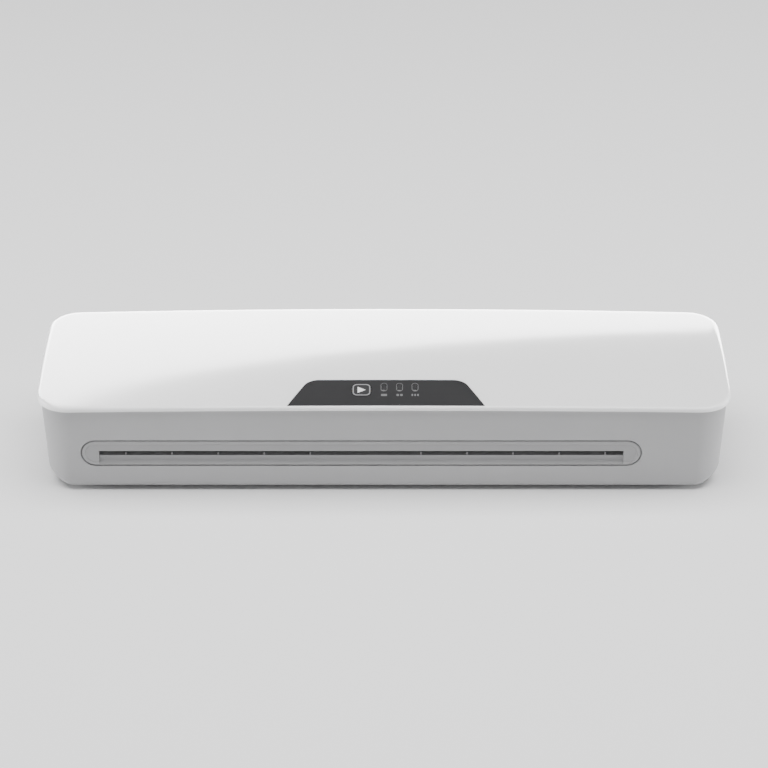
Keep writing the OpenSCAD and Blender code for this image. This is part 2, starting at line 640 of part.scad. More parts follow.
spring_r = 2.55;
wire_r = 0.35;
spring_x = 163.9;
cap_z = 49.5;
module lower_bushes() color([0.85, 0.82, 0.72]) both_ends() for (at = [low_hot, low_pull])
    difference() {
        union() {
            rod_x(163.4, 1.55, at, 6.5);
            rod_x(163.4, 3.7, at, 5);
        }
        rod_x(160, 10, at, journal_r + bearing_play);
    }
module bearing_block(at) {
    difference() {
        union() {
            box([160.5, at[0] - 6, at[1] - 6.5], [frame_x - 0.1, at[0] + 6, at[1] + block_top]);
            box([frame_x - 0.2, at[0] - block_w / 2, at[1] - 5],
                [167.3, at[0] + block_w / 2, at[1] + block_top]);
        }
        rod_x(158, 12, at, journal_r + bearing_play);
    }
}
module hot_bearing_blocks() color([0.85, 0.82, 0.72]) both_ends() bearing_block(up_hot);
module pull_bearing_blocks() color([0.85, 0.82, 0.72]) both_ends() bearing_block(up_pull);
module spring_caps() color([0.85, 0.82, 0.72]) both_ends() for (at = [up_hot, up_pull]) {
    box([160.5, at[0] - 4.9, cap_z], [169.5, at[0] + 4.9, frame_top + 0.1]);
    box([160.5, at[0] - 8, frame_top + 0.05], [169.5, at[0] + 8, frame_top + 1.5]);
}

// A round wire swept along points, its rings turned about the fixed direction up.
module swept_wire(path, r, sides, up) {
    n = len(path);
    rings = [for (i = [0:n - 1])
        let (t0 = path[min(n - 1, i + 1)] - path[max(0, i - 1)], t = t0 / norm(t0),
             s0 = cross(t, up), s = s0 / norm(s0), v = cross(s, t))
        [for (k = [0:sides - 1]) let (a = 360 * k / sides) path[i] + r * (s * cos(a) + v * sin(a))]];
    polyhedron(points = [for (q = rings) each q], convexity = 10, faces = concat(
        [for (i = [0:n - 2], k = [0:sides - 1]) let (j = (k + 1) % sides, a = i * sides, b = a + sides)
            [a + k, a + j, b + j, b + k]],
        [[for (k = [sides - 1:-1:0]) k]],
        [[for (k = [0:sides - 1]) (n - 1) * sides + k]]));
}
module spring(at, z0, z1) {
    turns = 5;
    steps = 14;
    path = [for (i = [0:turns * steps]) let (a = 360 * i / steps, s = i / (turns * steps))
        [spring_x + spring_r * cos(a), at[0] + spring_r * sin(a),
         z0 + wire_r + (z1 - z0 - 2 * wire_r) * s]];
    swept_wire(path, wire_r, 6, [0, 0, 1]);
}
module hot_springs() color([0.65, 0.66, 0.68]) both_ends()
    spring(up_hot, up_hot[1] + block_top + 0.08, cap_z - 0.08);
module pull_springs() color([0.65, 0.66, 0.68]) both_ends()
    spring(up_pull, up_pull[1] + block_top + 0.08, cap_z - 0.08);

// ---------------------------------------------------------------- rollers and gears

function involute(a) = tan(a) * 180 / PI - a;
function base_r(teeth) = pitch(teeth) * cos(20);
function half_tooth(teeth, r) =
    90 / teeth - flank_play / pitch(teeth) * 180 / PI + involute(20)
    - involute(acos(min(1, base_r(teeth) / max(r, base_r(teeth)))));
module gear_shape(teeth) {
    r0 = pitch(teeth) - root_h * gear_m;
    r1 = pitch(teeth) + tip_h * gear_m;
    rb = max(base_r(teeth), r0 + 0.05);
    rise = concat([r0], [for (i = [0:4]) rb + (r1 - rb) * i / 4]);
    polygon([for (k = [0:teeth - 1]) let (c = 360 * k / teeth) each concat(
        [for (r = rise) let (a = c - half_tooth(teeth, r)) r * [cos(a), sin(a)]],
        [for (i = [len(rise) - 1:-1:0]) let (r = rise[i], a = c + half_tooth(teeth, r))
            r * [cos(a), sin(a)]])]);
}
// Round bore with one flat, which drives the gear; play is added all round.
module d_bore(r, play) {
    intersection() {
        circle(r = r + play);
        translate([-10, -10]) square([20, 10 + r * 0.8 + play]);
    }
}
module driven_gear(teeth, at, phase, bore, colour) color(colour) along_x(gear_x, gear_w)
    translate(at) difference() {
        rotate(phase) gear_shape(teeth);
        d_bore(bore, 0.03);
    }
module roller_shaft(at) color([0.62, 0.63, 0.65]) {
    rod_x(-shaft_core_half, 2 * shaft_core_half, at, core_r);
    rod_x(-168.5, 168.5 - shaft_core_half + eps, at, journal_r);
    rod_x(shaft_core_half - eps, 167.6 - shaft_core_half + eps, at, journal_r);
    along_x(167.6 - eps, 6.6 + eps) translate(at) d_bore(journal_r, 0);
}
module sleeve(at, r) difference() {
    rod_x(-sleeve_half, 2 * sleeve_half, at, r);
    rod_x(-sleeve_half - 1, 2 * sleeve_half + 2, at, core_r + 0.04);
}
gear_white = [0.9, 0.89, 0.84];
gear_black = [0.2, 0.2, 0.2];
module lower_hot_shaft() roller_shaft(low_hot);
module upper_hot_shaft() roller_shaft(up_hot);
module lower_pull_shaft() roller_shaft(low_pull);
module upper_pull_shaft() roller_shaft(up_pull);
module lower_hot_sleeve() color([0.75, 0.3, 0.2]) sleeve(low_hot, hot_r - roller_gap);
module upper_hot_sleeve() color([0.75, 0.3, 0.2]) sleeve(up_hot, hot_r - roller_gap);
module lower_pull_sleeve() color([0.35, 0.35, 0.36]) sleeve(low_pull, pull_r - roller_gap);
module upper_pull_sleeve() color([0.35, 0.35, 0.36]) sleeve(up_pull, pull_r - roller_gap);
module lower_hot_gear() driven_gear(hot_teeth, low_hot, hot_phase, journal_r, gear_black);
module upper_hot_gear() driven_gear(hot_teeth, up_hot, up_hot_phase, journal_r, gear_black);
module lower_pull_gear() driven_gear(pull_teeth, low_pull, pull_phase, journal_r, gear_white);
module upper_pull_gear() driven_gear(pull_teeth, up_pull, up_pull_phase, journal_r, gear_white);
module idler_gear() color(gear_white) along_x(gear_x, gear_w) translate(idler_at) difference() {
    rotate(idler_phase) gear_shape(idler_teeth);
    circle(r = journal_r + bearing_play);
}
module idler_stud() color([0.62, 0.63, 0.65]) {
    rod_x(frame_x, frame_t + eps, idler_at, 1.95);
    rod_x(frame_x + frame_t, 1.4, idler_at, 4.2);
    rod_x(frame_x + frame_t, 7.2, idler_at, journal_r);
    rod_x(frame_x + frame_t + 7, 1, idler_at, 4.2);
}

// ---------------------------------------------------------------- motor

output_r = 3.5;
module motor_pinion() driven_gear(pinion_teeth, pinion_at, pinion_phase, output_r, gear_white);
module motor_shaft() color([0.62, 0.63, 0.65]) {
    along_x(167.4, 8) translate(pinion_at) d_bore(output_r, 0);
    rod_x(175.4 - eps, 8, pinion_at, output_r);
}
module motor_bracket() color([0.72, 0.73, 0.75]) difference() {
    along_x(bracket_x, bracket_t)
        polygon([[-4, 6.4], [48, 6.4], [48, 50], [-4, 50]]);
    rod_x(bracket_x - 1, 4, pinion_at, 5);
    for (at = bracket_posts) rod_x(bracket_x - 1, 4, at, clear_r);
}
module motor_gearbox() color([0.85, 0.85, 0.83]) difference() {
    union() {
        intersection() {
            rod_x(bracket_x + bracket_t, 7.6, motor_at, motor_r + 1);
            box([170, -5, 11], [200, 45, 60]);
        }
        rod_x(bracket_x - 0.8, 4, pinion_at, 4.8);
    }
    rod_x(170, 14, pinion_at, output_r + 0.05);
    for (at = bracket_posts) rod_x(bracket_x, 4, at, head_r + 0.3);
}
module motor_can() color([0.7, 0.71, 0.73])
    rod_x(bracket_x + bracket_t + 7.6, 13, motor_at, motor_r);

// ---------------------------------------------------------------- electronics

module main_pcb() color([0.1, 0.4, 0.22]) difference() {
    box([bracket_x, -45, 9.5], [bracket_x + pcb_t, -8, 51]);
    for (at = main_pcb_posts) rod_x(bracket_x - 1, 6, at, clear_r);
}
pcb_face = bracket_x + pcb_t;
module transformer() color([0.75, 0.65, 0.2]) {
    box([pcb_face, -34, 19], [pcb_face + 3, -10, 41]);
    box([pcb_face + 3, -31, 22], [pcb_face + 14, -13, 38]);
    box([pcb_face + 4, -34, 25], [pcb_face + 13, -10, 35]);
}
module power_relay() color([0.15, 0.3, 0.6])
    box([pcb_face, -20, 42.5], [pcb_face + 13, -9, 50.5]);
module capacitors() color([0.12, 0.12, 0.3]) for (c = [[-39.5, 42.5, 15], [-39.5, 23.3, 13], [-14, 14.2, 12]])
    rod_x(pcb_face, c[2], [c[0], c[1]], 4.4);
module control_pcb() color([0.1, 0.4, 0.22]) difference() {
    box([-62, -50, pcb_z], [48, -28, pcb_z + pcb_t]);
    for (p = pcb_posts) translate([p[0], p[1], pcb_z - 1]) cylinder(h = 5, r = clear_r);
}
module tact_switch() color([0.15, 0.15, 0.15]) difference() {
    translate([button_at[0] - 3, button_at[1] - 3, pcb_z + pcb_t]) cube([6, 6, 1.8]);
    translate([button_at[0], button_at[1], pcb_z + pcb_t + 0.2]) cylinder(h = 4, r = 1.9);
}
module indicator_leds() color([0.9, 0.95, 0.9]) for (x = lens_x)
    translate([x, lens_y, pcb_z + pcb_t]) cylinder(h = 3, r = 1.4);

// Smooth curve through hand-placed points: k stretches between each pair.
function curve(p, k) = let (n = len(p)) concat([for (i = [0:n - 2], j = [0:k - 1])
    let (t = j / k, a = p[max(0, i - 1)], b = p[i], c = p[i + 1], d = p[min(n - 1, i + 2)])
    0.5 * (2 * b + (c - a) * t + (2 * a - 5 * b + 4 * c - d) * t * t
        + (3 * b - a - 3 * c + d) * t * t * t)], [p[n - 1]]);
panel_lead = [[44, -36, 57.8], [70, -36, 58.2], [140, -37, 57.5], [158, -36, 56.5],
    [163.8, -33, 52.7]];
motor_lead = [[178, 24, 58.6], [176, 4, 57.5], [170, -8, 55], [166, -14, 53.2], [163.8, -17, 52.4]];
heater_lead = [[44.8, -12, 50.9], [80, -15, 53], [130, -26, 54.5], [148, -30.5, 55],
    [158, -27, 54.4], [163.8, -23, 52.3]];
module wiring() {
    color([0.8, 0.8, 0.8]) swept_wire(curve(panel_lead, 5), 1.5, 8, [0, 0, 1]);
    color([0.8, 0.2, 0.15]) swept_wire(curve(motor_lead, 5), 1.2, 8, [0, 0, 1]);
    color([0.9, 0.9, 0.85]) swept_wire(curve(heater_lead, 5), 1.1, 8, [0, 0, 1]);
}

// ---------------------------------------------------------------- selection

top_cover();
lower_housing();
control_panel();
indicator_lenses();
at_path() feed_bezel();
at_path() exit_bezel();
rubber_feet();
case_screws();
cord_gland();
at_path() left_frame();
at_path() right_frame();
at_path() tie_bars();
frame_screws();
at_path() feed_guide_upper();
at_path() feed_guide_lower();
at_path() mid_guides();
at_path() upper_heat_shoe();
at_path() lower_heat_shoe();
at_path() upper_heater_strip();
at_path() lower_heater_rod();
at_path() shoe_insulators();
at_path() thermostat();
at_path() thermal_fuse();
at_path() heat_shield();
at_path() lower_bushes();
at_path() spring_caps();
at_path() hot_springs();
at_path() pull_springs();
at_path() idler_stud();
at_path() motor_bracket();
at_path() standoffs();
at_path() motor_can();
at_path() motor_gearbox();
at_path() main_pcb();
at_path() transformer();
at_path() power_relay();
at_path() capacitors();
control_pcb();
tact_switch();
indicator_leds();
wiring();
start_button();
switch_plunger();
at_path() hot_bearing_blocks();
at_path() pull_bearing_blocks();
at_path() lower_hot_shaft();
at_path() lower_hot_sleeve();
at_path() lower_hot_gear();
at_path() upper_hot_shaft();
at_path() upper_hot_sleeve();
at_path() upper_hot_gear();
at_path() lower_pull_shaft();
at_path() lower_pull_sleeve();
at_path() lower_pull_gear();
at_path() upper_pull_shaft();
at_path() upper_pull_sleeve();
at_path() upper_pull_gear();
at_path() idler_gear();
at_path() motor_shaft();
at_path() motor_pinion();
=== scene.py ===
import json
import math

import bmesh
import bpy
from mathutils import Matrix, Vector


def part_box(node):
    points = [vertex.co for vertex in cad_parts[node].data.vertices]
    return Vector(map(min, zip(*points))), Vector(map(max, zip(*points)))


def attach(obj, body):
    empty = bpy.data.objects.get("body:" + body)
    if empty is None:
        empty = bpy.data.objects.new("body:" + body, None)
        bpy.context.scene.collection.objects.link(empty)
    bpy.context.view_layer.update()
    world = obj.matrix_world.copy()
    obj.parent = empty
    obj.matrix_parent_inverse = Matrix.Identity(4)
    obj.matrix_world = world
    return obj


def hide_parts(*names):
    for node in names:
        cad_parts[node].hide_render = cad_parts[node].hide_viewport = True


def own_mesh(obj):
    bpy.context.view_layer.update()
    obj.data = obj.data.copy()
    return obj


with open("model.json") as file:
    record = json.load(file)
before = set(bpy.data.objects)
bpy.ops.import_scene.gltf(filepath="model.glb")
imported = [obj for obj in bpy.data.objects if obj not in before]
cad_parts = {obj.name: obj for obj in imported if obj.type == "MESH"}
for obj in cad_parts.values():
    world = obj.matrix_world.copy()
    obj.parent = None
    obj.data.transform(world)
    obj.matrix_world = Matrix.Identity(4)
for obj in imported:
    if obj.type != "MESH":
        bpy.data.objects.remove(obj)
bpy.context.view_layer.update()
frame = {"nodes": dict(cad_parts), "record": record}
SCENE = bpy.context.scene

MM = 0.001
TAU = 2 * math.pi

# ---------------------------------------------------------------- sizes shared with the frame



def centre(node):
    low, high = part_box(node)
    return (low + high) / 2


COVER_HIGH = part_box("top_cover")[1]
HALF_X, HALF_Y = COVER_HIGH.x, COVER_HIGH.y
DEPTH = 2 * HALF_Y
CORNER = 20 * MM
WALL = 2.5 * MM
LIP_Z = 57 * MM
COVER_EDGE = 2.6 * MM
COVER_RISE = 11.5 * MM
SEAM_CROWN = 1.5 * MM
TOP_CROWN = 2.9 * MM
LIP_OVERHANG = 2 * MM
LIP_ROUND = 0.55 * MM

FLOOR_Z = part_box("lower_housing")[0].z
FLOOR_T = 2.2 * MM
PARTING_GAP = 0.25 * MM
FRONT_DRAFT = 4 * MM
SIDE_DRAFT = 3.5 * MM
FRONT_FOOT_R = 4 * MM
SIDE_FOOT_R = 10 * MM
BACK_Y = HALF_Y - LIP_OVERHANG
FRONT_TILT = math.atan(FRONT_DRAFT / (LIP_Z - FLOOR_Z))

PATH_Z = 26 * MM
SLOT_W = 318 * MM
SLOT_H = 3 * MM
MOUTH_Z = centre("exit_bezel").z
MOUTH_W = 339.6 * MM
MOUTH_H = 17.6 * MM
MOUTH_GAP = 0.3 * MM

PANEL_T = 1.2 * MM
PANEL_X = 1.2 * MM
PANEL_Y = (-54.2 * MM, -29.2 * MM)
PANEL_HALF = (59.5 * MM, 47 * MM)
PANEL_CORNER = 10 * MM
BUTTON_SIZE = (11 * MM, 11.2 * MM)
BUTTON_CORNER = 3 * MM
BUTTON_PROUD = 0.25 * MM
LENS_SIZE = (3 * MM, 7 * MM)
LENS_Y = -36.5 * MM
LENS_X = (0, 9.4 * MM, 18.8 * MM)


BUTTON_AT = centre("switch_plunger")
PATH_X = centre("feed_bezel").x


def across(x):
    return 1 - (x / HALF_X) ** 2


def along(y):
    return (y + HALF_Y) / DEPTH


def seam_z(x):
    return LIP_Z + SEAM_CROWN * across(x)


def top_z(x, y):
    rise = COVER_RISE * math.sin(math.pi / 2 * along(y))
    crown = SEAM_CROWN + (TOP_CROWN - SEAM_CROWN) * along(y)
    return LIP_Z + COVER_EDGE + rise + crown * across(x)


def edge_r(y):
    return (1.8 + 6.2 * max(0, along(y)) ** 1.5) * MM


def top_normal(x, y):
    step = 0.5 * MM
    dx = (top_z(x + step, y) - top_z(x - step, y)) / (2 * step)
    dy = (top_z(x, y + step) - top_z(x, y - step)) / (2 * step)
    return Vector((-dx, -dy, 1)).normalized()


# ---------------------------------------------------------------- materials


class Nodes:
    """A short way to write a node tree."""

    def __init__(self, name, colour):
        self.mat = bpy.data.materials.new(name)
        self.mat.use_nodes = True
        self.mat.diffuse_color = (*colour, 1)
        self.tree = self.mat.node_tree
        self.shader = self.tree.nodes["Principled BSDF"]

    def add(self, kind, inputs=(), **settings):
        node = self.tree.nodes.new("ShaderNode" + kind)
        for key, value in settings.items():
            setattr(node, key, value)
        for key, value in dict(inputs).items():
            self.feed(node.inputs[key], value)
        return node

    def feed(self, socket, value):
        if isinstance(value, bpy.types.NodeSocket):
            self.tree.links.new(value, socket)
        else:
            socket.default_value = value

    def place(self, stretch=(1, 1, 1)):
        texture = self.add("TexCoord")
        return self.add("Mapping", {"Vector": texture.outputs["Object"], "Scale": stretch}).outputs[0]

    def noise(self, size, detail=2, stretch=(1, 1, 1), roughness=0.5):
        """Noise whose features are about size metres across, from 0 to 1."""
        inputs = {"Vector": self.place(stretch), "Scale": 1 / size, "Detail": detail,
                  "Roughness": roughness}
        return self.add("TexNoise", inputs).outputs["Fac"]

    def span(self, value, low, high, start=0.3, end=0.7):
        inputs = {"Value": value, "From Min": start, "From Max": end, "To Min": low, "To Max": high}
        return self.add("MapRange", inputs).outputs["Result"]

    def mix(self, share, a, b, blend="MIX"):
        node = self.add("Mix", data_type="RGBA", blend_type=blend)
        self.feed(node.inputs["Factor"], share)
        self.feed(node.inputs[6], a)
        self.feed(node.inputs[7], b)
        return node.outputs[2]

    def bump(self, height, distance, strength=1.0, normal=None):
        node = self.add("Bump", {"Height": height, "Distance": distance, "Strength": strength})
        if normal is not None:
            self.feed(node.inputs["Normal"], normal)
        return node.outputs["Normal"]


def shade(colour, factor):
    return (*[min(1, c * factor) for c in colour], 1)


def moulded(name, colour, rough, grain, depth, mottle=0.03, swing=0.05, edges=0.0, specular=0.5,
            coat=0.0, waviness=0.0):
    """Injection-moulded plastic: a spark-eroded grain, soft flow mottling and rubbed edges."""
    n = Nodes(name, colour)
    flow = n.span(n.noise(26 * MM, 3, (0.35, 1, 1)), 0, 1)
    fine = n.noise(grain, 2)
    body = n.mix(flow, shade(colour, 1 - mottle), shade(colour, 1 + mottle))
    speck = n.span(n.noise(grain * 2.2, 1), 0, 0.5, 0.58, 0.75)
    body = n.mix(speck, body, shade(colour, 1 - 2 * mottle))
    if edges:
        corner = n.add("NewGeometry").outputs["Pointiness"]
        scuffs = n.span(n.noise(3 * MM, 4), 0, 1, 0.42, 0.62)
        worn = n.add("Math", {0: n.span(corner, 0, edges, 0.53, 0.60), 1: scuffs},
                     operation="MULTIPLY").outputs[0]
        body = n.mix(worn, body, shade([0.6 * c + 0.25 for c in colour], 1))
    n.feed(n.shader.inputs["Base Color"], body)
    handled = n.span(n.noise(14 * MM, 4), rough - swing, rough + swing)
    n.feed(n.shader.inputs["Roughness"], handled)
    normal = n.bump(fine, depth)
    if waviness:
        normal = n.bump(n.noise(9 * MM, 1), waviness, 1, normal)
    n.feed(n.shader.inputs["Normal"], normal)
    n.feed(n.shader.inputs["Specular IOR Level"], specular)
    n.feed(n.shader.inputs["IOR"], 1.49)
    if coat:
        n.feed(n.shader.inputs["Coat Weight"], coat)
        n.feed(n.shader.inputs["Coat Roughness"], 0.08)
    return n.mat


def rolled(name, colour, rough, stretch=(0.04, 1, 1), lines=0.25 * MM, blotch=0.0, tint=None):
    """Metal with drawing or turning lines, and blotches of its plating or scorching."""
    n = Nodes(name, colour)
    streak = n.noise(lines, 4, stretch, 0.65)
    cloud = n.noise(5 * MM, 5)
    body = n.mix(n.span(streak, 0, 1), shade(colour, 0.9), shade(colour, 1.06))
    if blotch:
        body = n.mix(n.span(cloud, 0, blotch, 0.45, 0.65), body, (*(tint or colour), 1))
    n.feed(n.shader.inputs["Base Color"], body)
    n.feed(n.shader.inputs["Metallic"], 1.0)
    n.feed(n.shader.inputs["Roughness"], n.span(cloud, rough - 0.05, rough + 0.08))
    n.feed(n.shader.inputs["Normal"], n.bump(streak, 0.02 * MM, 0.6))
    n.feed(n.shader.inputs["Anisotropic"], 0.3)
    return n.mat


def soft(name, colour, rough=0.75, grain=0.5 * MM, dust=0.0, sheen=0.1):
    """Rubber or silicone: a dry skin with a fine pebble and dust in its hollows."""
    n = Nodes(name, colour)
    pebble = n.noise(grain, 3)
    patch = n.noise(7 * MM, 4)
    body = n.mix(n.span(patch, 0, 1), shade(colour, 0.88), shade(colour, 1.12))
    if dust:
        body = n.mix(n.span(n.noise(1.4 * MM, 5), 0, dust, 0.5, 0.72), body, (0.32, 0.31, 0.29, 1))
    n.feed(n.shader.inputs["Base Color"], body)
    n.feed(n.shader.inputs["Roughness"], n.span(patch, rough - 0.06, min(1, rough + 0.1)))
    n.feed(n.shader.inputs["Normal"], n.bump(pebble, 0.03 * MM))
    n.feed(n.shader.inputs["Sheen Weight"], sheen)
    n.feed(n.shader.inputs["Specular IOR Level"], 0.35)
    return n.mat


def board(name, colour, copper):
    """Solder mask over copper tracks that show as a slightly raised, lighter grid."""
    n = Nodes(name, colour)
    cells = n.add("TexBrick", {"Vector": n.place(), "Scale": 1 / (6 * MM), "Mortar Size": 0.09,
                               "Color1": (0, 0, 0, 1), "Color2": (0.1, 0.1, 0.1, 1),
                               "Mortar": (1, 1, 1, 1)})
    tracks = n.span(cells.outputs["Color"], 0, 1, 0.2, 0.8)
    cloud = n.span(n.noise(11 * MM, 4), 0, 1)
    body = n.mix(cloud, shade(colour, 0.85), shade(colour, 1.1))
    body = n.mix(tracks, body, (*copper, 1))
    n.feed(n.shader.inputs["Base Color"], body)
    n.feed(n.shader.inputs["Roughness"], n.span(cloud, 0.28, 0.42, 0, 1))
    n.feed(n.shader.inputs["Normal"], n.bump(tracks, 0.03 * MM))
    return n.mat


def smoked(name, colour):
    """The indicator lens: smoked plastic with a faint moulded prism pattern."""
    n = Nodes(name, colour)
    ribs = n.add("TexWave", {"Vector": n.place(), "Scale": 1 / (1.2 * MM), "Distortion": 0.0},
                 wave_type="BANDS", bands_direction="Y").outputs["Fac"]
    haze = n.noise(1.5 * MM, 3)
    n.feed(n.shader.inputs["Base Color"], n.mix(n.span(haze, 0, 1), shade(colour, 0.8), shade(colour, 1.3)))
    n.feed(n.shader.inputs["Roughness"], n.span(haze, 0.12, 0.2))
    n.feed(n.shader.inputs["Normal"], n.bump(ribs, 0.02 * MM, 0.5))
    n.feed(n.shader.inputs["Coat Weight"], 0.4)
    return n.mat


def printed(name, colour):
    """Pad-printed ink, a little uneven where the pad lifted."""
    n = Nodes(name, colour)
    ink = n.noise(0.35 * MM, 4)
    n.feed(n.shader.inputs["Base Color"], n.mix(n.span(ink, 0, 1), shade(colour, 0.9), shade(colour, 1.05)))
    n.feed(n.shader.inputs["Roughness"], n.span(ink, 0.38, 0.55))
    n.feed(n.shader.inputs["Normal"], n.bump(ink, 0.004 * MM))
    return n.mat


SLOT_LOOKS = {
    "cover_plastic": lambda s: moulded(s, (0.80, 0.80, 0.803), 0.12, 0.45 * MM, 0.0005 * MM, 0.005,
                                       0.012, coat=0.6, waviness=0.001 * MM),
    "housing_plastic": lambda s: moulded(s, (0.37, 0.37, 0.376), 0.52, 0.32 * MM, 0.012 * MM, 0.014, 0.04),
    "bezel_plastic": lambda s: moulded(s, (0.30, 0.30, 0.305), 0.45, 0.26 * MM, 0.006 * MM, 0.012, 0.04),
    "panel_plastic": lambda s: moulded(s, (0.026, 0.026, 0.027), 0.2, 0.22 * MM, 0.0012 * MM, 0.03, 0.02),
    "button_plastic": lambda s: moulded(s, (0.036, 0.036, 0.037), 0.2, 0.22 * MM, 0.0015 * MM, 0.03, 0.02),
    "lens_clear": lambda s: smoked(s, (0.028, 0.028, 0.029)),
    "foot_rubber": lambda s: soft(s, (0.022, 0.022, 0.022), 0.8, 0.6 * MM, dust=0.5),
    "screw_black": lambda s: rolled(s, (0.09, 0.09, 0.095), 0.42, (1, 1, 1), 0.4 * MM, 0.5,
                                    (0.16, 0.16, 0.16)),
    "gland_plastic": lambda s: moulded(s, (0.028, 0.028, 0.029), 0.45, 0.3 * MM, 0.008 * MM, 0.05,
                                       edges=0.3),
    "frame_steel": lambda s: rolled(s, (0.60, 0.61, 0.62), 0.33, (1, 0.05, 1), 0.3 * MM, 0.35,
                                    (0.50, 0.52, 0.50)),
    "bar_steel": lambda s: rolled(s, (0.56, 0.57, 0.58), 0.28, (1, 0.08, 0.08)),
    "screw_zinc": lambda s: rolled(s, (0.60, 0.62, 0.64), 0.3, (1, 1, 1), 0.3 * MM, 0.4,
                                   (0.52, 0.54, 0.50)),
    "guide_plastic": lambda s: moulded(s, (0.030, 0.030, 0.031), 0.5, 0.3 * MM, 0.01 * MM, 0.06),
    "shoe_aluminium": lambda s: rolled(s, (0.72, 0.72, 0.73), 0.36, (0.02, 1, 1), 0.4 * MM, 0.3,
                                       (0.55, 0.50, 0.45)),
    "heater_mica": lambda s: moulded(s, (0.46, 0.34, 0.20), 0.5, 0.8 * MM, 0.01 * MM, 0.16),
    "heater_sheath": lambda s: rolled(s, (0.42, 0.41, 0.40), 0.4, (0.05, 1, 1), 0.3 * MM, 0.6,
                                      (0.28, 0.22, 0.18)),
    "insulator_ceramic": lambda s: moulded(s, (0.78, 0.75, 0.69), 0.6, 0.25 * MM, 0.015 * MM, 0.05),
    "thermostat_body": lambda s: moulded(s, (0.035, 0.032, 0.030), 0.35, 0.3 * MM, 0.006 * MM, 0.08),
    "fuse_metal": lambda s: rolled(s, (0.66, 0.66, 0.66), 0.3, (0.1, 1, 1)),
    "shield_steel": lambda s: rolled(s, (0.62, 0.63, 0.64), 0.27, (0.02, 1, 1), 0.35 * MM, 0.3,
                                     (0.55, 0.50, 0.46)),
    "bush_plastic": lambda s: moulded(s, (0.66, 0.62, 0.50), 0.4, 0.3 * MM, 0.004 * MM, 0.04),
    "spring_steel": lambda s: rolled(s, (0.46, 0.47, 0.49), 0.3, (1, 1, 0.3), 0.15 * MM),
    "standoff_brass": lambda s: rolled(s, (0.72, 0.55, 0.26), 0.3, (1, 0.1, 0.1), 0.2 * MM, 0.3,
                                       (0.5, 0.36, 0.16)),
    "motor_steel": lambda s: rolled(s, (0.52, 0.53, 0.55), 0.32, (0.1, 1, 1), 0.3 * MM),
    "gearbox_plastic": lambda s: moulded(s, (0.74, 0.73, 0.69), 0.42, 0.4 * MM, 0.006 * MM, 0.04),
    "circuit_board": lambda s: board(s, (0.02, 0.12, 0.05), (0.05, 0.24, 0.10)),
    "transformer_core": lambda s: rolled(s, (0.42, 0.33, 0.10), 0.45, (1, 1, 0.04), 0.5 * MM, 0.4,
                                         (0.25, 0.18, 0.06)),
    "relay_blue": lambda s: moulded(s, (0.03, 0.10, 0.34), 0.35, 0.3 * MM, 0.004 * MM, 0.05),
    "capacitor_sleeve": lambda s: moulded(s, (0.02, 0.02, 0.075), 0.25, 0.5 * MM, 0.003 * MM, 0.08),
    "switch_black": lambda s: moulded(s, (0.025, 0.025, 0.025), 0.4, 0.2 * MM, 0.004 * MM, 0.05),
    "led_epoxy": lambda s: smoked(s, (0.62, 0.66, 0.60)),
    "wire_insulation": lambda s: soft(s, (0.45, 0.44, 0.43), 0.5, 0.8 * MM, sheen=0.0),
    "shaft_steel": lambda s: rolled(s, (0.58, 0.59, 0.60), 0.22, (1, 0.06, 0.06), 0.2 * MM),
    "hot_silicone": lambda s: soft(s, (0.30, 0.055, 0.03), 0.55, 0.4 * MM),
    "pull_silicone": lambda s: soft(s, (0.05, 0.05, 0.05), 0.6, 0.4 * MM),
    "gear_black": lambda s: moulded(s, (0.03, 0.03, 0.03), 0.4, 0.25 * MM, 0.005 * MM, 0.06),
    "gear_white": lambda s: moulded(s, (0.74, 0.73, 0.68), 0.38, 0.3 * MM, 0.004 * MM, 0.03),
}
MATERIALS = {slot: make(slot) for slot, make in SLOT_LOOKS.items()}
INK_WHITE = printed("ink_white", (0.74, 0.74, 0.74))
INK_GREY = printed("ink_grey", (0.24, 0.24, 0.245))
INK_DIM = printed("ink_dim", (0.13, 0.13, 0.133))


def dress_frame():
    for part in frame["record"]["subparts"]:
        mesh = frame["nodes"][part["node"]].data
        mesh.materials.clear()
        mesh.materials.append(MATERIALS[part["material_slot"]])


# ---------------------------------------------------------------- mesh helpers


def finish_piece(name, bm, material, smooth_angle=32, body="root"):
    """Turns bm into a named piece with sharp edges kept and its shading weighted by face area."""
    bmesh.ops.remove_doubles(bm, verts=bm.verts, dist=1e-7)
    bmesh.ops.dissolve_degenerate(bm, dist=1e-8, edges=bm.edges)
    bmesh.ops.recalc_face_normals(bm, faces=bm.faces)
    mesh = bpy.data.meshes.new(name)
    bm.to_mesh(mesh)
    bm.free()
    mesh.materials.append(material)
    obj = bpy.data.objects.new(name, mesh)
    SCENE.collection.objects.link(obj)
    smooth(obj, smooth_angle)
    if body:
        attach(obj, body)
    return obj


def smooth(obj, angle):
    obj.data.shade_smooth()
    obj.data.set_sharp_from_angle(angle=math.radians(angle))
    weighted = obj.modifiers.new("weighted", "WEIGHTED_NORMAL")
    weighted.keep_sharp = True
    weighted.weight = 80


def stands_for(piece, slot, *nodes):
    if nodes:
        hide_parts(*nodes)
    return piece


def add_loop(bm, points):
    return [bm.verts.new(p) for p in points]


def bridge(bm, a, b):
    for i in range(len(a)):
        j = (i + 1) % len(a)
        bm.faces.new((a[i], a[j], b[j], b[i]))


def strip_cap(bm, ring):
    """Closes a ring that is symmetric front to back with strips that keep its curve."""
    n = len(ring)
    bm.faces.new((ring[0], ring[1], ring[n - 1]))
    for i in range(1, n // 2 - 1):
        bm.faces.new((ring[i], ring[i + 1], ring[n - i - 1], ring[n - i]))
    bm.faces.new((ring[n // 2 - 1], ring[n // 2], ring[n // 2 + 1]))


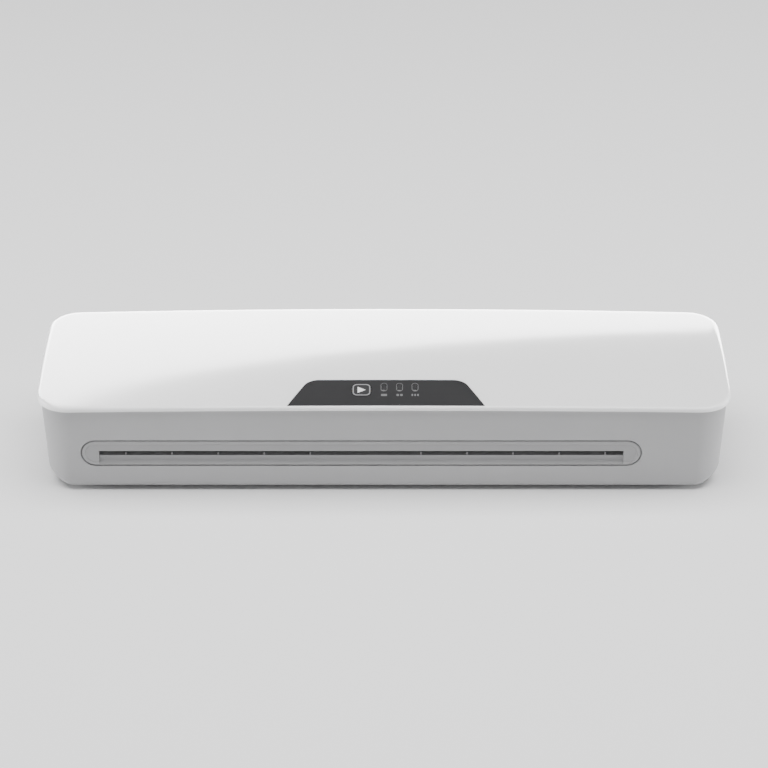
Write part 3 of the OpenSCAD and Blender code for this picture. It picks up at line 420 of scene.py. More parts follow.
def loft(rings, cap=strip_cap):
    bm = bmesh.new()
    loops = [add_loop(bm, ring) for ring in rings]
    for a, b in zip(loops, loops[1:]):
        bridge(bm, a, b)
    cap(bm, loops[0])
    cap(bm, loops[-1])
    return bm


def flat_cap(bm, ring):
    bm.faces.new(ring)


def cutter(bm):
    return finish_piece("cutter", bm, INK_DIM, body=None)


def carve(obj, cutters, operation="DIFFERENCE"):
    """Applies booleans to obj and removes the cutters."""
    smooth_angle = 32
    obj.modifiers.clear()
    for tool in cutters:
        tool.modifiers.clear()
        cut = obj.modifiers.new("cut", "BOOLEAN")
        cut.object = tool
        cut.operation = operation
        cut.solver = "EXACT"
    graph = bpy.context.evaluated_depsgraph_get()
    mesh = bpy.data.meshes.new_from_object(obj.evaluated_get(graph))
    obj.modifiers.clear()
    old = obj.data
    material = old.materials[0]
    obj.data = mesh
    mesh.materials.clear()
    mesh.materials.append(material)
    for face in mesh.polygons:
        face.material_index = 0
    bpy.data.meshes.remove(old)
    for tool in cutters:
        bpy.data.objects.remove(tool)
    smooth(obj, smooth_angle)
    return obj


def lathe(profile, at, axis="Z", steps=64):
    """A closed solid turned from [(radius, height)] about an axis through at; a radius of 0 closes it."""
    bm = bmesh.new()
    loops = []
    for radius, height in profile:
        if radius == 0:
            loops.append([bm.verts.new((0, 0, height))])
        else:
            loops.append(add_loop(bm, [(radius * math.cos(TAU * i / steps),
                                        radius * math.sin(TAU * i / steps), height)
                                       for i in range(steps)]))
    closed = profile[0][0] != 0 and profile[-1][0] != 0
    for a, b in zip(loops, loops[1:] + (loops[:1] if closed else [])):
        if len(a) == 1 or len(b) == 1:
            tip, ring = (a[0], b) if len(a) == 1 else (b[0], a)
            for i in range(steps):
                bm.faces.new((tip, ring[i], ring[(i + 1) % steps]))
        else:
            bridge(bm, a, b)
    turn = {"Z": Matrix(), "-Z": Matrix.Rotation(math.pi, 4, "X"),
            "Y": Matrix.Rotation(-math.pi / 2, 4, "X")}[axis]
    bm.transform(Matrix.Translation(at) @ turn)
    return bm


def fillet(x0, y0, x1, y1, steps=5, bulge=1):
    """Points of a quarter ellipse from (x0, y0) to (x1, y1); bulge 1 leaves along x first, 0 along y."""
    points = []
    for i in range(1, steps):
        a = math.pi / 2 * i / steps
        if bulge:
            points.append((x0 + (x1 - x0) * math.sin(a), y0 + (y1 - y0) * (1 - math.cos(a))))
        else:
            points.append((x0 + (x1 - x0) * (1 - math.cos(a)), y0 + (y1 - y0) * math.sin(a)))
    return points


# ---------------------------------------------------------------- outlines

CORNER_STEPS = 14
SIDE_STEPS = 10
FRONT_STEPS = 60


def casing_outline():
    """The cover's plan outline from the middle of the left end round the front, as (point, normal)."""
    half = [(Vector((-HALF_X, -(HALF_Y - CORNER) * i / SIDE_STEPS)), Vector((-1, 0)))
            for i in range(SIDE_STEPS)]
    for sign, start in ((-1, 180), (1, 270)):
        if sign == 1:
            half += [(Vector(((HALF_X - CORNER) * (2 * i / FRONT_STEPS - 1), -HALF_Y)), Vector((0, -1)))
                     for i in range(1, FRONT_STEPS)]
        for i in range(CORNER_STEPS + 1):
            a = math.radians(start + 90 * i / CORNER_STEPS)
            normal = Vector((math.cos(a), math.sin(a)))
            middle = Vector((sign * (HALF_X - CORNER), -(HALF_Y - CORNER)))
            half.append((middle + CORNER * normal, normal))
    half += [(Vector((HALF_X, -(HALF_Y - CORNER) * i / SIDE_STEPS)), Vector((1, 0)))
             for i in range(SIDE_STEPS - 1, -1, -1)]
    back = [(Vector((p.x, -p.y)), Vector((n.x, -n.y))) for p, n in half[-2:0:-1]]
    return half + back


OUTLINE = casing_outline()


def drafted(normal, z):
    lean = abs(normal.x) * SIDE_DRAFT + max(0, -normal.y) * FRONT_DRAFT
    return LIP_OVERHANG + lean * (LIP_Z - z) / (LIP_Z - FLOOR_Z)


def stadium_loop(width, height, steps=24):
    """Points (x, z) of a stadium, from the right end's foot upwards."""
    points = []
    for sign in (1, -1):
        for i in range(steps + 1):
            a = -math.pi / 2 * sign + math.pi * i / steps
            points.append((sign * (width - height) / 2 + height / 2 * math.cos(a),
                           height / 2 * math.sin(a)))
    return points


def rounded_rows(size, corner, grow, steps=8):
    """(y, half width) rows of a rounded rectangle centred on 0, grown by grow."""
    a, b = size[0] / 2 - corner, size[1] / 2 - corner
    r = corner + grow
    rows = [(-b + r * math.sin(t), a + r * math.cos(t))
            for t in (math.radians(-90 + 90 * i / steps) for i in range(steps + 1))]
    return rows + [(-y, w) for y, w in reversed(rows)][1 if b == 0 else 0:]


def panel_rows(grow, steps=12):
    """Rows of the control panel: straight sloping sides that run into two large round corners."""
    side = Vector((PANEL_HALF[0] - PANEL_HALF[1], PANEL_Y[0] - PANEL_Y[1])).normalized()
    normal = Vector((-side.y, side.x))
    half = math.acos(-side.x) / 2
    inward = (Vector((-1, 0)) + side).normalized()
    middle = Vector((PANEL_HALF[1], PANEL_Y[1])) + inward * PANEL_CORNER / math.sin(half)
    r = PANEL_CORNER + grow
    start = math.atan2(normal.y, normal.x)
    tangent = middle + r * normal
    foot_y = PANEL_Y[0] - grow
    foot = tangent + side * ((foot_y - tangent.y) / side.y)
    rows = [(foot.y + (tangent.y - foot.y) * i / steps, foot.x + (tangent.x - foot.x) * i / steps)
            for i in range(steps)]
    for i in range(steps + 1):
        a = start + (math.pi / 2 - start) * i / steps
        rows.append((middle.y + r * math.sin(a), middle.x + r * math.cos(a)))
    return rows


def slab(rows_at, levels, at=(0, 0), columns=24, height=top_z):
    """A solid whose plan is rows_at(grow), capped by grids that follow height.

    levels are (grow, rise) pairs from the top cap to the bottom one."""
    bm = bmesh.new()

    def point(y, x, rise):
        px, py = at[0] + x, at[1] + y
        return Vector((px, py, height(px, py) + rise))

    def grid(grow, rise):
        return [[bm.verts.new(point(y, w * (2 * c / columns - 1), rise)) for c in range(columns + 1)]
                for y, w in rows_at(grow)]

    def border(rows):
        return (rows[0][:-1] + [r[-1] for r in rows[:-1]] + rows[-1][:0:-1]
                + [r[0] for r in reversed(rows[1:])])

    def cap(rows):
        for a, b in zip(rows, rows[1:]):
            for c in range(columns):
                bm.faces.new((a[c], a[c + 1], b[c + 1], b[c]))

    def ring(grow, rise):
        shadow = [[point(y, w * (2 * c / columns - 1), rise) for c in range(columns + 1)]
                  for y, w in rows_at(grow)]
        return add_loop(bm, border(shadow))

    top, bottom = grid(*levels[0]), grid(*levels[-1])
    cap(top)
    cap(bottom)
    loops = [border(top)] + [ring(*level) for level in levels[1:-1]] + [border(bottom)]
    for a, b in zip(loops, loops[1:]):
        bridge(bm, a, b)
    return bm


def band(rows_at, outer, inner, rise, sink, at):
    """A thin closed ring on the panel's surface, between two outlines."""
    bm = bmesh.new()
    loops = []
    for grow, lift in ((outer, sink), (outer, rise), (inner, rise), (inner, sink)):
        rows = rows_at(grow)
        points = [(at[0] + w, at[1] + y) for y, w in rows]
        points += [(at[0] - w, at[1] + y) for y, w in reversed(rows)]
        loops.append(add_loop(bm, [(x, y, top_z(x, y) + lift) for x, y in points]))
    for a, b in zip(loops, loops[1:] + loops[:1]):
        bridge(bm, a, b)
    return bm


# ---------------------------------------------------------------- top cover

TOP_SHARES = (0.97, 0.9, 0.8, 0.7, 0.6, 0.5, 0.4, 0.3, 0.22, 0.15, 0.09, 0.04)
EDGE_STEPS = 9
SPINE_BULGE = 4 * MM


def toward_spine(point, share):
    """point drawn in towards the spine of the top, whose two ends are slightly rounded."""
    reach = HALF_X - HALF_Y + SPINE_BULGE * (1 - (point.y / HALF_Y) ** 2)
    return Vector((point.x * (1 - share) + share * max(-reach, min(reach, point.x)),
                   point.y * (1 - share)))


def on_top(p, drop):
    return Vector((p.x, p.y, top_z(p.x, p.y) - drop))


def cover_rings():
    def top(share, depth):
        return [on_top(toward_spine(p - n * (depth + edge_r(p.y)), share), depth) for p, n in OUTLINE]

    def edge(a):
        ring = []
        for p, n in OUTLINE:
            r = edge_r(p.y)
            ring.append(on_top(p - n * r * (1 - math.cos(a)), r * (1 - math.sin(a))))
        return ring

    def wall(inset, lift):
        ring = []
        for p, n in OUTLINE:
            q = p - n * inset
            ring.append(Vector((q.x, q.y, seam_z(q.x) + lift)))
        return ring

    def inner(share):
        ring = []
        for p, n in OUTLINE:
            q = p - n * (WALL + share * edge_r(p.y))
            low, high = seam_z(q.x), top_z(q.x, q.y) - WALL
            lift = max((0.05 + 0.02 * share) * MM, high - (1 - share) * 0.45 * (high - low) - low)
            ring.append(Vector((q.x, q.y, low + lift)))
        return ring

    rings = [top(share, 0) for share in TOP_SHARES]
    rings += [edge(math.radians(90 - 90 * i / EDGE_STEPS)) for i in range(EDGE_STEPS + 1)]
    lip = [math.radians(90 * i / 4) for i in range(5)]
    rings += [wall(LIP_ROUND * (1 - math.cos(a)), LIP_ROUND * (1 - math.sin(a))) for a in lip]
    rings += [wall(WALL - 0.2 * MM, 0), wall(WALL, 0.03 * MM)]
    rings += [inner(0.1), inner(0.5), inner(1)]
    rings += [top(share, WALL) for share in (0.15, 0.4, 0.7, 0.95)]
    return rings


def panel_cutter(grow):
    """The recess that the control panel sits in, with its upper edge broken by a small chamfer."""
    chamfer = 0.22 * MM
    return cutter(slab(panel_rows, [(grow + chamfer, 4 * MM), (grow + chamfer, 0),
                                    (grow, -chamfer), (grow, -PANEL_T)], (PANEL_X, 0)))


def controls_cutters(grow, low, high, chamfer):
    """Openings for the start button and the lenses, from low to high about the top surface."""
    shapes = [(BUTTON_AT.xy, BUTTON_SIZE, BUTTON_CORNER)]
    shapes += [((x, LENS_Y), LENS_SIZE, LENS_SIZE[0] / 2) for x in LENS_X]
    tools = []
    for at, size, corner in shapes:
        def rows(g, size=size, corner=corner):
            return rounded_rows(size, corner, g)
        play = grow if size is BUTTON_SIZE else grow / 3
        tools.append(cutter(slab(rows, [(play + chamfer, high), (play + chamfer, 0),
                                        (play, -chamfer), (play, low)], at, 8)))
    return tools


def build_cover():
    cover = finish_piece("cover_shell", loft(cover_rings()), MATERIALS["cover_plastic"])
    carve(cover, [panel_cutter(0.14 * MM)] + controls_cutters(0.25 * MM, -4 * MM, 1 * MM, 0))
    stands_for(cover, "cover_plastic", "top_cover")


# ---------------------------------------------------------------- lower housing


def housing_rings():
    def rim(inset, drop):
        ring = []
        for p, n in OUTLINE:
            x = (p - n * (LIP_OVERHANG + inset)).x
            z = seam_z(x) - PARTING_GAP - drop
            q = p - n * (drafted(n, z) + inset)
            ring.append(Vector((q.x, q.y, z)))
        return ring

    def foot(a):
        ring = []
        for p, n in OUTLINE:
            r = FRONT_FOOT_R + (SIDE_FOOT_R - FRONT_FOOT_R) * n.x ** 2
            z = FLOOR_Z + r * (1 - math.sin(a))
            q = p - n * (drafted(n, z) + r * (1 - math.cos(a)))
            ring.append(Vector((q.x, q.y, z)))
        return ring

    def hollow(radii, rise, share):
        ring = []
        for p, n in OUTLINE:
            r = FRONT_FOOT_R + (SIDE_FOOT_R - FRONT_FOOT_R) * n.x ** 2
            z = FLOOR_Z + r * radii + rise
            q = p - n * (drafted(n, z) + WALL + share * r)
            ring.append(Vector((q.x, q.y, z)))
        return ring

    soft_edge = 0.35 * MM
    rings = [hollow(0, FLOOR_T, 0.38), hollow(1, 0, 0), rim(WALL, 0.1 * MM), rim(WALL - 0.1 * MM, 0),
             rim(soft_edge, 0), rim(soft_edge * 0.3, soft_edge * 0.3), rim(0, soft_edge)]
    return rings + [foot(math.radians(90 * i / 10)) for i in range(11)]


def front_frame():
    """Matrix from the feed mouth's own axes, with +Y into the machine, to the row frame."""
    y = -HALF_Y + drafted(Vector((0, -1)), MOUTH_Z)
    return Matrix.Translation((PATH_X, y, MOUTH_Z)) @ Matrix.Rotation(FRONT_TILT, 4, "X")


def back_frame():
    return Matrix.Translation((PATH_X, BACK_Y, MOUTH_Z)) @ Matrix.Rotation(math.pi, 4, "Z")


def mouth_loop(grow, depth):
    return [(x, depth, z) for x, z in stadium_loop(MOUTH_W + 2 * grow, MOUTH_H + 2 * grow)]


def mouth_cutter(place):
    """Cuts the stadium hole in a wall, with its outer edge softened."""
    flare = 0.85 * MM
    loops = [(MOUTH_GAP + flare, -3 * MM), (MOUTH_GAP + flare, -0.02 * MM)]
    loops += [(MOUTH_GAP + flare * (1 - math.sin(a)), flare * (1 - math.cos(a)))
              for a in (math.radians(18 * i) for i in range(1, 6))]
    loops += [(MOUTH_GAP, 6 * MM)]
    bm = loft([mouth_loop(g, d) for g, d in loops], flat_cap)
    bm.transform(place)
    return cutter(bm)


def bore_cutter(profile, at, axis):
    return cutter(lathe([(0, profile[0][1])] + profile + [(0, profile[-1][1])], at, axis, 48))


POSTS = [(-189.5 * MM, -39.5 * MM), (189.5 * MM, -39.5 * MM), (-189.5 * MM, 39.5 * MM)]
POST_R = 5.2 * MM
POST_TOP_Z = 44 * MM
HEAD_SEAT_Z = 36 * MM
HEAD_WELL_R = 3.4 * MM
REAR_WELL_R = 3.2 * MM
CLEAR_R = 1.7 * MM
SCREW_HEAD_R = 2.8 * MM
GLAND_R = 3.6 * MM
GLAND_HOLE_R = 5.05 * MM
REAR_SCREW_X = 110 * MM
REAR_SCREW_Z = 46 * MM
VENT_STEP = 22 * MM
VENT_ROWS = 6
VENT_Y = 28 * MM
VENT_SIZE = (3 * MM, 24 * MM)


def base_cutters():
    """Screw wells, floor vents, the cord hole and the shallow blank label recess underneath."""
    edge = 0.3 * MM
    tools = []
    for x, y in POSTS:
        tools.append(bore_cutter([(HEAD_WELL_R + edge, -3 * MM), (HEAD_WELL_R + edge, 0),
                                  (HEAD_WELL_R, edge), (HEAD_WELL_R, 20 * MM)], (x, y, FLOOR_Z), "Z"))
    for sign in (-1, 1):
        tools.append(bore_cutter([(REAR_WELL_R + edge, 2 * MM), (REAR_WELL_R + edge, 0),
                                  (REAR_WELL_R, -edge), (REAR_WELL_R, -1.2 * MM), (CLEAR_R, -1.2 * MM),
                                  (CLEAR_R, -3 * MM)],
                                 (sign * REAR_SCREW_X, BACK_Y, REAR_SCREW_Z), "Y"))
    gland = centre("cord_gland")
    tools.append(bore_cutter([(GLAND_HOLE_R, 3 * MM), (GLAND_HOLE_R, -6 * MM)],
                             (gland.x, BACK_Y, gland.z), "Y"))

    def flat(x, y):
        return FLOOR_Z

    def vent_rows(g):
        return rounded_rows(VENT_SIZE, VENT_SIZE[0] / 2, g)

    for i in range(-VENT_ROWS, VENT_ROWS + 1):
        levels = [(0, 4 * MM), (0, edge), (edge, 0), (edge, -2 * MM)]
        tools.append(cutter(slab(vent_rows, levels, (i * VENT_STEP, VENT_Y), 4, flat)))

    def label_rows(g):
        return rounded_rows((90 * MM, 34 * MM), 2 * MM, g)

    tools.append(cutter(slab(label_rows, [(0, 0.4 * MM), (0.2 * MM, 0), (0.2 * MM, -2 * MM)],
                             (0, -20 * MM), 4, flat)))
    return tools


def build_posts():
    """Tubes inside the housing that the screws from underneath pass through."""
    for i, (x, y) in enumerate(POSTS):
        seat, top = HEAD_SEAT_Z - FLOOR_Z, POST_TOP_Z - FLOOR_Z
        profile = [(HEAD_WELL_R, 2.1 * MM), (HEAD_WELL_R, seat), (CLEAR_R, seat), (CLEAR_R, top),
                   (POST_R, top), (POST_R, 2.1 * MM)]
        post = finish_piece(f"screw_post_{i + 1}", lathe(profile, (x, y, FLOOR_Z)),
                            MATERIALS["housing_plastic"])


def build_housing():
    housing = finish_piece("housing_shell", loft(housing_rings(), flat_cap), MATERIALS["housing_plastic"])
    carve(housing, [mouth_cutter(front_frame()), mouth_cutter(back_frame())] + base_cutters())
    stands_for(housing, "housing_plastic", "lower_housing")


# ---------------------------------------------------------------- feed and exit bezels

RIM_W = 2.1 * MM
RECESS = 0.6 * MM
MOUTH_DEPTH = 2.2 * MM
MOUTH_FLARE = 0.8 * MM
RAMP_LIP = 19.6 * MM - MOUTH_Z
RIB_X = [s for k in range(5) for s in ((-143 + 28 * k) * MM, (148.2 - 28 * k) * MM)]


def mouth_body():
    """The plate: a softened rim, a shallow dished recess and a flange behind the wall."""
    e = 1.25 * MM
    depth = 1.5 * MM
    flange = (3.2 * MM, 2.35 * MM)
    back = WALL + 1.6 * MM
    shoulder = [(-e * (1 - math.cos(a)), depth * (1 - math.sin(a)))
                for a in (math.radians(15 * i) for i in range(7))]
    loops = [(0, WALL + 0.06 * MM)] + shoulder
    loops += [(-RIM_W, 0), (-RIM_W - 0.15 * MM, 0.08 * MM), (-RIM_W - 0.55 * MM, RECESS - 0.08 * MM),
              (-RIM_W - 0.7 * MM, RECESS)]
    rings = [mouth_loop(g, d) for g, d in loops]
    wide = [(x, 0, z) for x, z in stadium_loop(MOUTH_W + 2 * flange[0], MOUTH_H + 2 * flange[1])]
    behind = [[(x, depth, z) for x, _, z in wide] for depth in (back, WALL + 0.06 * MM)]
    return loft(behind + rings, flat_cap)


def bezier(a, b, c, steps=6):
    return [a * (1 - t) ** 2 + b * 2 * t * (1 - t) + c * t * t for t in (i / steps for i in range(steps + 1))]


def pocket_cutter(out):
    """The slot and the curved ramp below it, drawn as (depth into the machine, z) about the mouth."""
    low = PATH_Z - MOUTH_Z - SLOT_H / 2
    high = low + SLOT_H
    away = -3 * MM
    lip = Vector((RECESS, RAMP_LIP))
    foot = Vector((MOUTH_DEPTH + 0.5 * MM, RAMP_LIP + 1.2 * MM))
    floor = [Vector((away, RAMP_LIP - 0.9 * MM)), lip + Vector((-0.5 * MM, -0.14 * MM))]
    floor += bezier(lip + Vector((-0.3 * MM, -0.08 * MM)), lip, lip + Vector((0.35 * MM, 0.25 * MM)), 4)
    floor += bezier(lip + Vector((0.5 * MM, 0.38 * MM)), foot + Vector((0, -0.55 * MM)),
                    foot + Vector((0, 0.6 * MM)), 6)
    edge = 0.35 * MM
    floor += [Vector((MOUTH_DEPTH, low - edge)), Vector((MOUTH_DEPTH + 0.3 * edge, low - 0.3 * edge)),
              Vector((MOUTH_DEPTH + edge, low)), Vector((out, low))]
    eaves = high + MOUTH_FLARE + 0.3 * MM
    roof = [Vector((out, high)), Vector((MOUTH_DEPTH + 1.2 * MM, high)),
            Vector((RECESS + 0.3 * MM, high + MOUTH_FLARE * 0.9)), Vector((RECESS, eaves)),
            Vector((away, eaves))]
    profile = floor + roof
    bm = bmesh.new()
    ends = []
    for sign in (-1, 1):
        loop = []
        for p in profile:
            flare = max(0.0, MOUTH_DEPTH - p.x) * 0.1
            loop.append(bm.verts.new((sign * (SLOT_W / 2 + flare), p.x, p.y)))
        ends.append(loop)
    bridge(bm, *ends)
    for loop in ends:
        bm.faces.new(loop)
    bmesh.ops.triangulate(bm, faces=[f for f in bm.faces if len(f.verts) > 4])
    return bm


def duct(depth):
    """The rectangular duct behind the flange that carries the slot into the machine."""
    bm = bmesh.new()
    bmesh.ops.create_cube(bm, size=1)
    bm.transform(Matrix.Translation((0, (WALL + 0.5 * MM + depth) / 2, PATH_Z - MOUTH_Z))
                 @ Matrix.Diagonal((SLOT_W + 8 * MM, depth - WALL - 0.5 * MM, 11.4 * MM, 1)))
    return bm


def build_mouth(name, place, node, duct_depth, ribs):
    bm = mouth_body()
    bm.transform(place)
    plate = finish_piece(name, bm, MATERIALS["bezel_plastic"])
    tail = duct(duct_depth)
    tail.transform(place)
    carve(plate, [cutter(tail)], "UNION")
    pocket = pocket_cutter(duct_depth + 3 * MM)
    pocket.transform(place)
    carve(plate, [cutter(pocket)])
    stands_for(plate, "bezel_plastic", node)
    if not ribs:
        return
    low = PATH_Z - MOUTH_Z - SLOT_H / 2
    bm = bmesh.new()
    width, depth, height = 0.8 * MM, 3 * MM, 1.6 * MM
    for x in RIB_X:
        made = bmesh.ops.create_cube(bm, size=1)
        middle = (x, MOUTH_DEPTH + 0.4 * MM + depth / 2, low + height / 2 - 0.1 * MM)
        bmesh.ops.transform(bm, verts=made["verts"], matrix=Matrix.Translation(middle)
                            @ Matrix.Diagonal((width, depth, height, 1)))
    bmesh.ops.bevel(bm, geom=bm.edges[:], offset=0.15 * MM, segments=2, affect="EDGES")
    bm.transform(place)
    ribs_piece = finish_piece(name + "_ribs", bm, MATERIALS["bezel_plastic"])


def build_mouths():
    build_mouth("feed_mouth", front_frame(), "feed_bezel", 10 * MM, True)
    build_mouth("exit_mouth", back_frame(), "exit_bezel", 12 * MM, False)


# ---------------------------------------------------------------- controls


def build_panel():
    e = 0.2 * MM
    levels = [(-e, 0), (-e * 0.3, -e * 0.3), (0, -e), (0, -PANEL_T + 0.05 * MM)]
    panel = finish_piece("control_fascia", slab(panel_rows, levels, (PANEL_X, 0), 60),
                         MATERIALS["panel_plastic"])
    carve(panel, controls_cutters(0.25 * MM, -4 * MM, 1 * MM, 0.12 * MM))
    stands_for(panel, "panel_plastic", "control_panel")


def button_rows(g):
    return rounded_rows(BUTTON_SIZE, BUTTON_CORNER, g)


def lens_rows(g):
    return rounded_rows(LENS_SIZE, LENS_SIZE[0] / 2, g)


def build_button():
    low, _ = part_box("start_button")
    skirt_top = low.z + 1 * MM

    def level(z):
        return z - top_z(*BUTTON_AT.xy)

    e = 0.5 * MM
    levels = [(-e * 2.2, BUTTON_PROUD - 0.12 * MM), (-e * 1.2, BUTTON_PROUD)]
    levels += [(-e * (1 - math.sin(a)), BUTTON_PROUD - e * (1 - math.cos(a)))
               for a in (math.radians(15 * i) for i in range(7))]
    levels += [(0, -1.6 * MM), (0, level(skirt_top)), (1.2 * MM, level(skirt_top)),
               (1.2 * MM, level(low.z))]
    bm = slab(button_rows, levels, BUTTON_AT.xy, 16)
    for vert in bm.verts:
        rise = vert.co.z - top_z(vert.co.x, vert.co.y)
        for flat_z in (low.z, skirt_top):
            if abs(rise - level(flat_z)) < 0.01 * MM:
                vert.co.z = flat_z
                break
    button = finish_piece("start_cap", bm, MATERIALS["button_plastic"], body="button")
    stands_for(button, "button_plastic", "start_button")
    top = BUTTON_PROUD - 0.12 * MM
    ink = 0.02 * MM
    ring = finish_piece("start_ring", band(button_rows, -0.15 * MM, -0.85 * MM,
                                           BUTTON_PROUD + ink, -0.3 * MM, BUTTON_AT.xy),
                        INK_GREY, body="button")
    bm = bmesh.new()
    half_w, half_d = 2.35 * MM, 2.9 * MM
    corners = [(-half_w, -half_d), (half_w + 0.2 * MM, 0), (-half_w, half_d)]
    loops = []
    for lift in (top + ink, top - 0.2 * MM):
        loops.append(add_loop(bm, [(BUTTON_AT.x + x, BUTTON_AT.y + y,
                                    top_z(BUTTON_AT.x + x, BUTTON_AT.y + y) + lift) for x, y in corners]))
    bridge(bm, *loops)
    bm.faces.new(loops[0])
    bm.faces.new(loops[1])
    mark = finish_piece("start_mark", bm, INK_WHITE, body="button")


def build_lenses():
    low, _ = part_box("indicator_lenses")
    for i, x in enumerate(LENS_X):
        at = (x, LENS_Y)
        bottom = low.z - top_z(*at)
        levels = [(-0.9 * MM, 0.10 * MM), (-0.45 * MM, 0.07 * MM), (-0.15 * MM, 0.0),
                  (-0.02 * MM, -0.12 * MM), (-0.02 * MM, bottom)]
        lens = finish_piece(f"lens_{i + 1}", slab(lens_rows, levels, at, 8), MATERIALS["lens_clear"])
        stands_for(lens, "lens_clear", *(["indicator_lenses"] if i == 0 else []))
        ring = finish_piece(f"lens_ring_{i + 1}",
                            band(lens_rows, 0.5 * MM, 0.18 * MM, 0.015 * MM, -0.15 * MM, at), INK_DIM)
        build_ticks(i, x)


def build_ticks(index, x):
    """Index marks under a lens: one wide bar, then two and three narrow ones."""
    y = LENS_Y - 7.6 * MM
    bar = (3.6 * MM, 1.5 * MM, 1.0 * MM)[index]
    for k in range(index + 1):
        offset = (k - index / 2) * (bar + 0.7 * MM)

        def rows(g, bar=bar):
            return rounded_rows((bar, 2.0 * MM), 0.35 * MM, g, 4)

        bm = slab(rows, [(0, 0.015 * MM), (0, -0.15 * MM)], (x + offset, y), 4)
        tick = finish_piece(f"tick_{index + 1}_{k + 1}", bm, INK_DIM)


# ---------------------------------------------------------------- small outside pieces


def build_feet():
    low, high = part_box("rubber_feet")
    r = 7 * MM
    x, y = high.x - r, high.y - r
    count = 0
    for sx in (-1, 1):
        for sy in (-1, 1):
            count += 1
            profile = [(0, 0.5 * MM), (4.4 * MM, 0.5 * MM), (4.7 * MM, 0.35 * MM), (4.9 * MM, 0.05 * MM),
                       (5.2 * MM, 0), (6.0 * MM, 0)]
            profile += fillet(6.0 * MM, 0, r, 1.0 * MM)
            profile += [(r, 1.0 * MM), (r, high.z), (0, high.z)]
            foot = finish_piece(f"foot_{count}", lathe(profile, (sx * x, sy * y, low.z)),
                                MATERIALS["foot_rubber"])
            stands_for(foot, "foot_rubber", *(["rubber_feet"] if count == 1 else []))


def screw(name, head_r, head_h, shank, at, axis, first=False):
    """A pan-head screw with a cross recess, its bearing face at at and its head along axis."""
    profile = [(0, head_h)] + [(head_r * math.sin(a), head_h * 0.45 + head_h * 0.55 * math.cos(a))
                               for a in (math.radians(10 * i) for i in range(1, 10))]
    profile += [(head_r, head_h * 0.1), (head_r - 0.1 * MM, 0), (1.2 * MM, 0), (1.2 * MM, -shank + 1 * MM),
                (0, -shank)]
    piece = finish_piece(name, lathe(profile, at, axis, 40), MATERIALS["screw_black"])
    turn = {"-Z": Matrix.Rotation(math.pi, 4, "X"), "Y": Matrix.Rotation(-math.pi / 2, 4, "X")}[axis]
    slots = []
    for angle in (0.3, 0.3 + math.pi / 2):
        bm = bmesh.new()
        bmesh.ops.create_cube(bm, size=1)
        size = (head_r * 1.05, 0.62 * MM, head_h * 1.3)
        bm.transform(Matrix.Translation(at) @ turn @ Matrix.Translation((0, 0, head_h * 1.05))
                     @ Matrix.Rotation(angle, 4, "Z") @ Matrix.Diagonal((*size, 1)))
        slots.append(cutter(bm))
    carve(piece, slots)
    stands_for(piece, "screw_black", *(["case_screws"] if first else []))


def build_screws():
    for i, (x, y) in enumerate(POSTS):
        screw(f"base_screw_{i + 1}", SCREW_HEAD_R, 2 * MM, 15 * MM, (x, y, HEAD_SEAT_Z), "-Z", i == 0)
    for i, sign in enumerate((-1, 1)):
        screw(f"rear_screw_{i + 1}", SCREW_HEAD_R, 1.1 * MM, 6.4 * MM,
              (sign * REAR_SCREW_X, BACK_Y - 1.2 * MM, REAR_SCREW_Z), "Y")


def build_gland():
    low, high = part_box("cord_gland")
    at = centre("cord_gland")
    bore = GLAND_R
    out = high.y - BACK_Y
    inner = low.y - BACK_Y
    profile = [(bore, inner), (bore, out - 0.4 * MM), (bore + 0.4 * MM, out), (5.4 * MM, out)]
    profile += fillet(5.4 * MM, out, 6.5 * MM, out - 0.9 * MM)
    profile += [(6.5 * MM, out - 0.9 * MM), (6.5 * MM, 0.25 * MM), (6.3 * MM, 0.02 * MM), (5 * MM, 0.02 * MM),
                (5 * MM, -WALL - 0.05 * MM), (6.1 * MM, -WALL - 0.05 * MM), (6.1 * MM, inner)]
    gland = finish_piece("gland_bush", lathe(profile, (at.x, BACK_Y, at.z), "Y"),
                         MATERIALS["gland_plastic"])
    stands_for(gland, "gland_plastic", "cord_gland")


SPRING_R = 2.55 * MM
WIRE_R = 0.35 * MM


def helix(name, x, y, low, high):
    """A compression spring with its end turns closed up."""
    turns, steps, sides = 6.0, 36, 10
    wire, radius = WIRE_R, SPRING_R
    bm = bmesh.new()
    loops = []
    total = int(turns * steps)
    span = high - low - 2 * wire
    for i in range(total + 1):
        s = i / total
        eased = s - math.sin(TAU * s) / TAU * 0.45
        a = TAU * turns * s
        out = Vector((math.cos(a), math.sin(a), 0))
        middle = Vector((x, y, low + wire + span * eased)) + radius * out
        loops.append(add_loop(bm, [middle + wire * (math.cos(t) * out + math.sin(t) * Vector((0, 0, 1)))
                                   for t in (TAU * k / sides for k in range(sides))]))
    for a, b in zip(loops, loops[1:]):
        bridge(bm, a, b)
    bm.faces.new(loops[0])
    bm.faces.new(loops[-1])
    return finish_piece(name, bm, MATERIALS["spring_steel"])


def build_springs():
    for node, joint in (("hot_springs", "hot_pressure_slide"), ("pull_springs", "pull_pressure_slide")):
        low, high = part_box(node)
        reach = SPRING_R + WIRE_R
        for i, sign in enumerate((-1, 1)):
            x = PATH_X + sign * (high.x - reach - PATH_X)
            spring = helix(f"{node}_{i + 1}", x, (low.y + high.y) / 2, low.z, high.z)
            stands_for(spring, "spring_steel", *([node] if i == 0 else []))
            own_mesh(spring)


# ---------------------------------------------------------------- studio

CAMERA_PITCH = math.radians(28)
CAMERA_DISTANCE = 2.0987
CAMERA_LENS = 159.4
AIM = Vector((0, 0, 47.2 * MM))


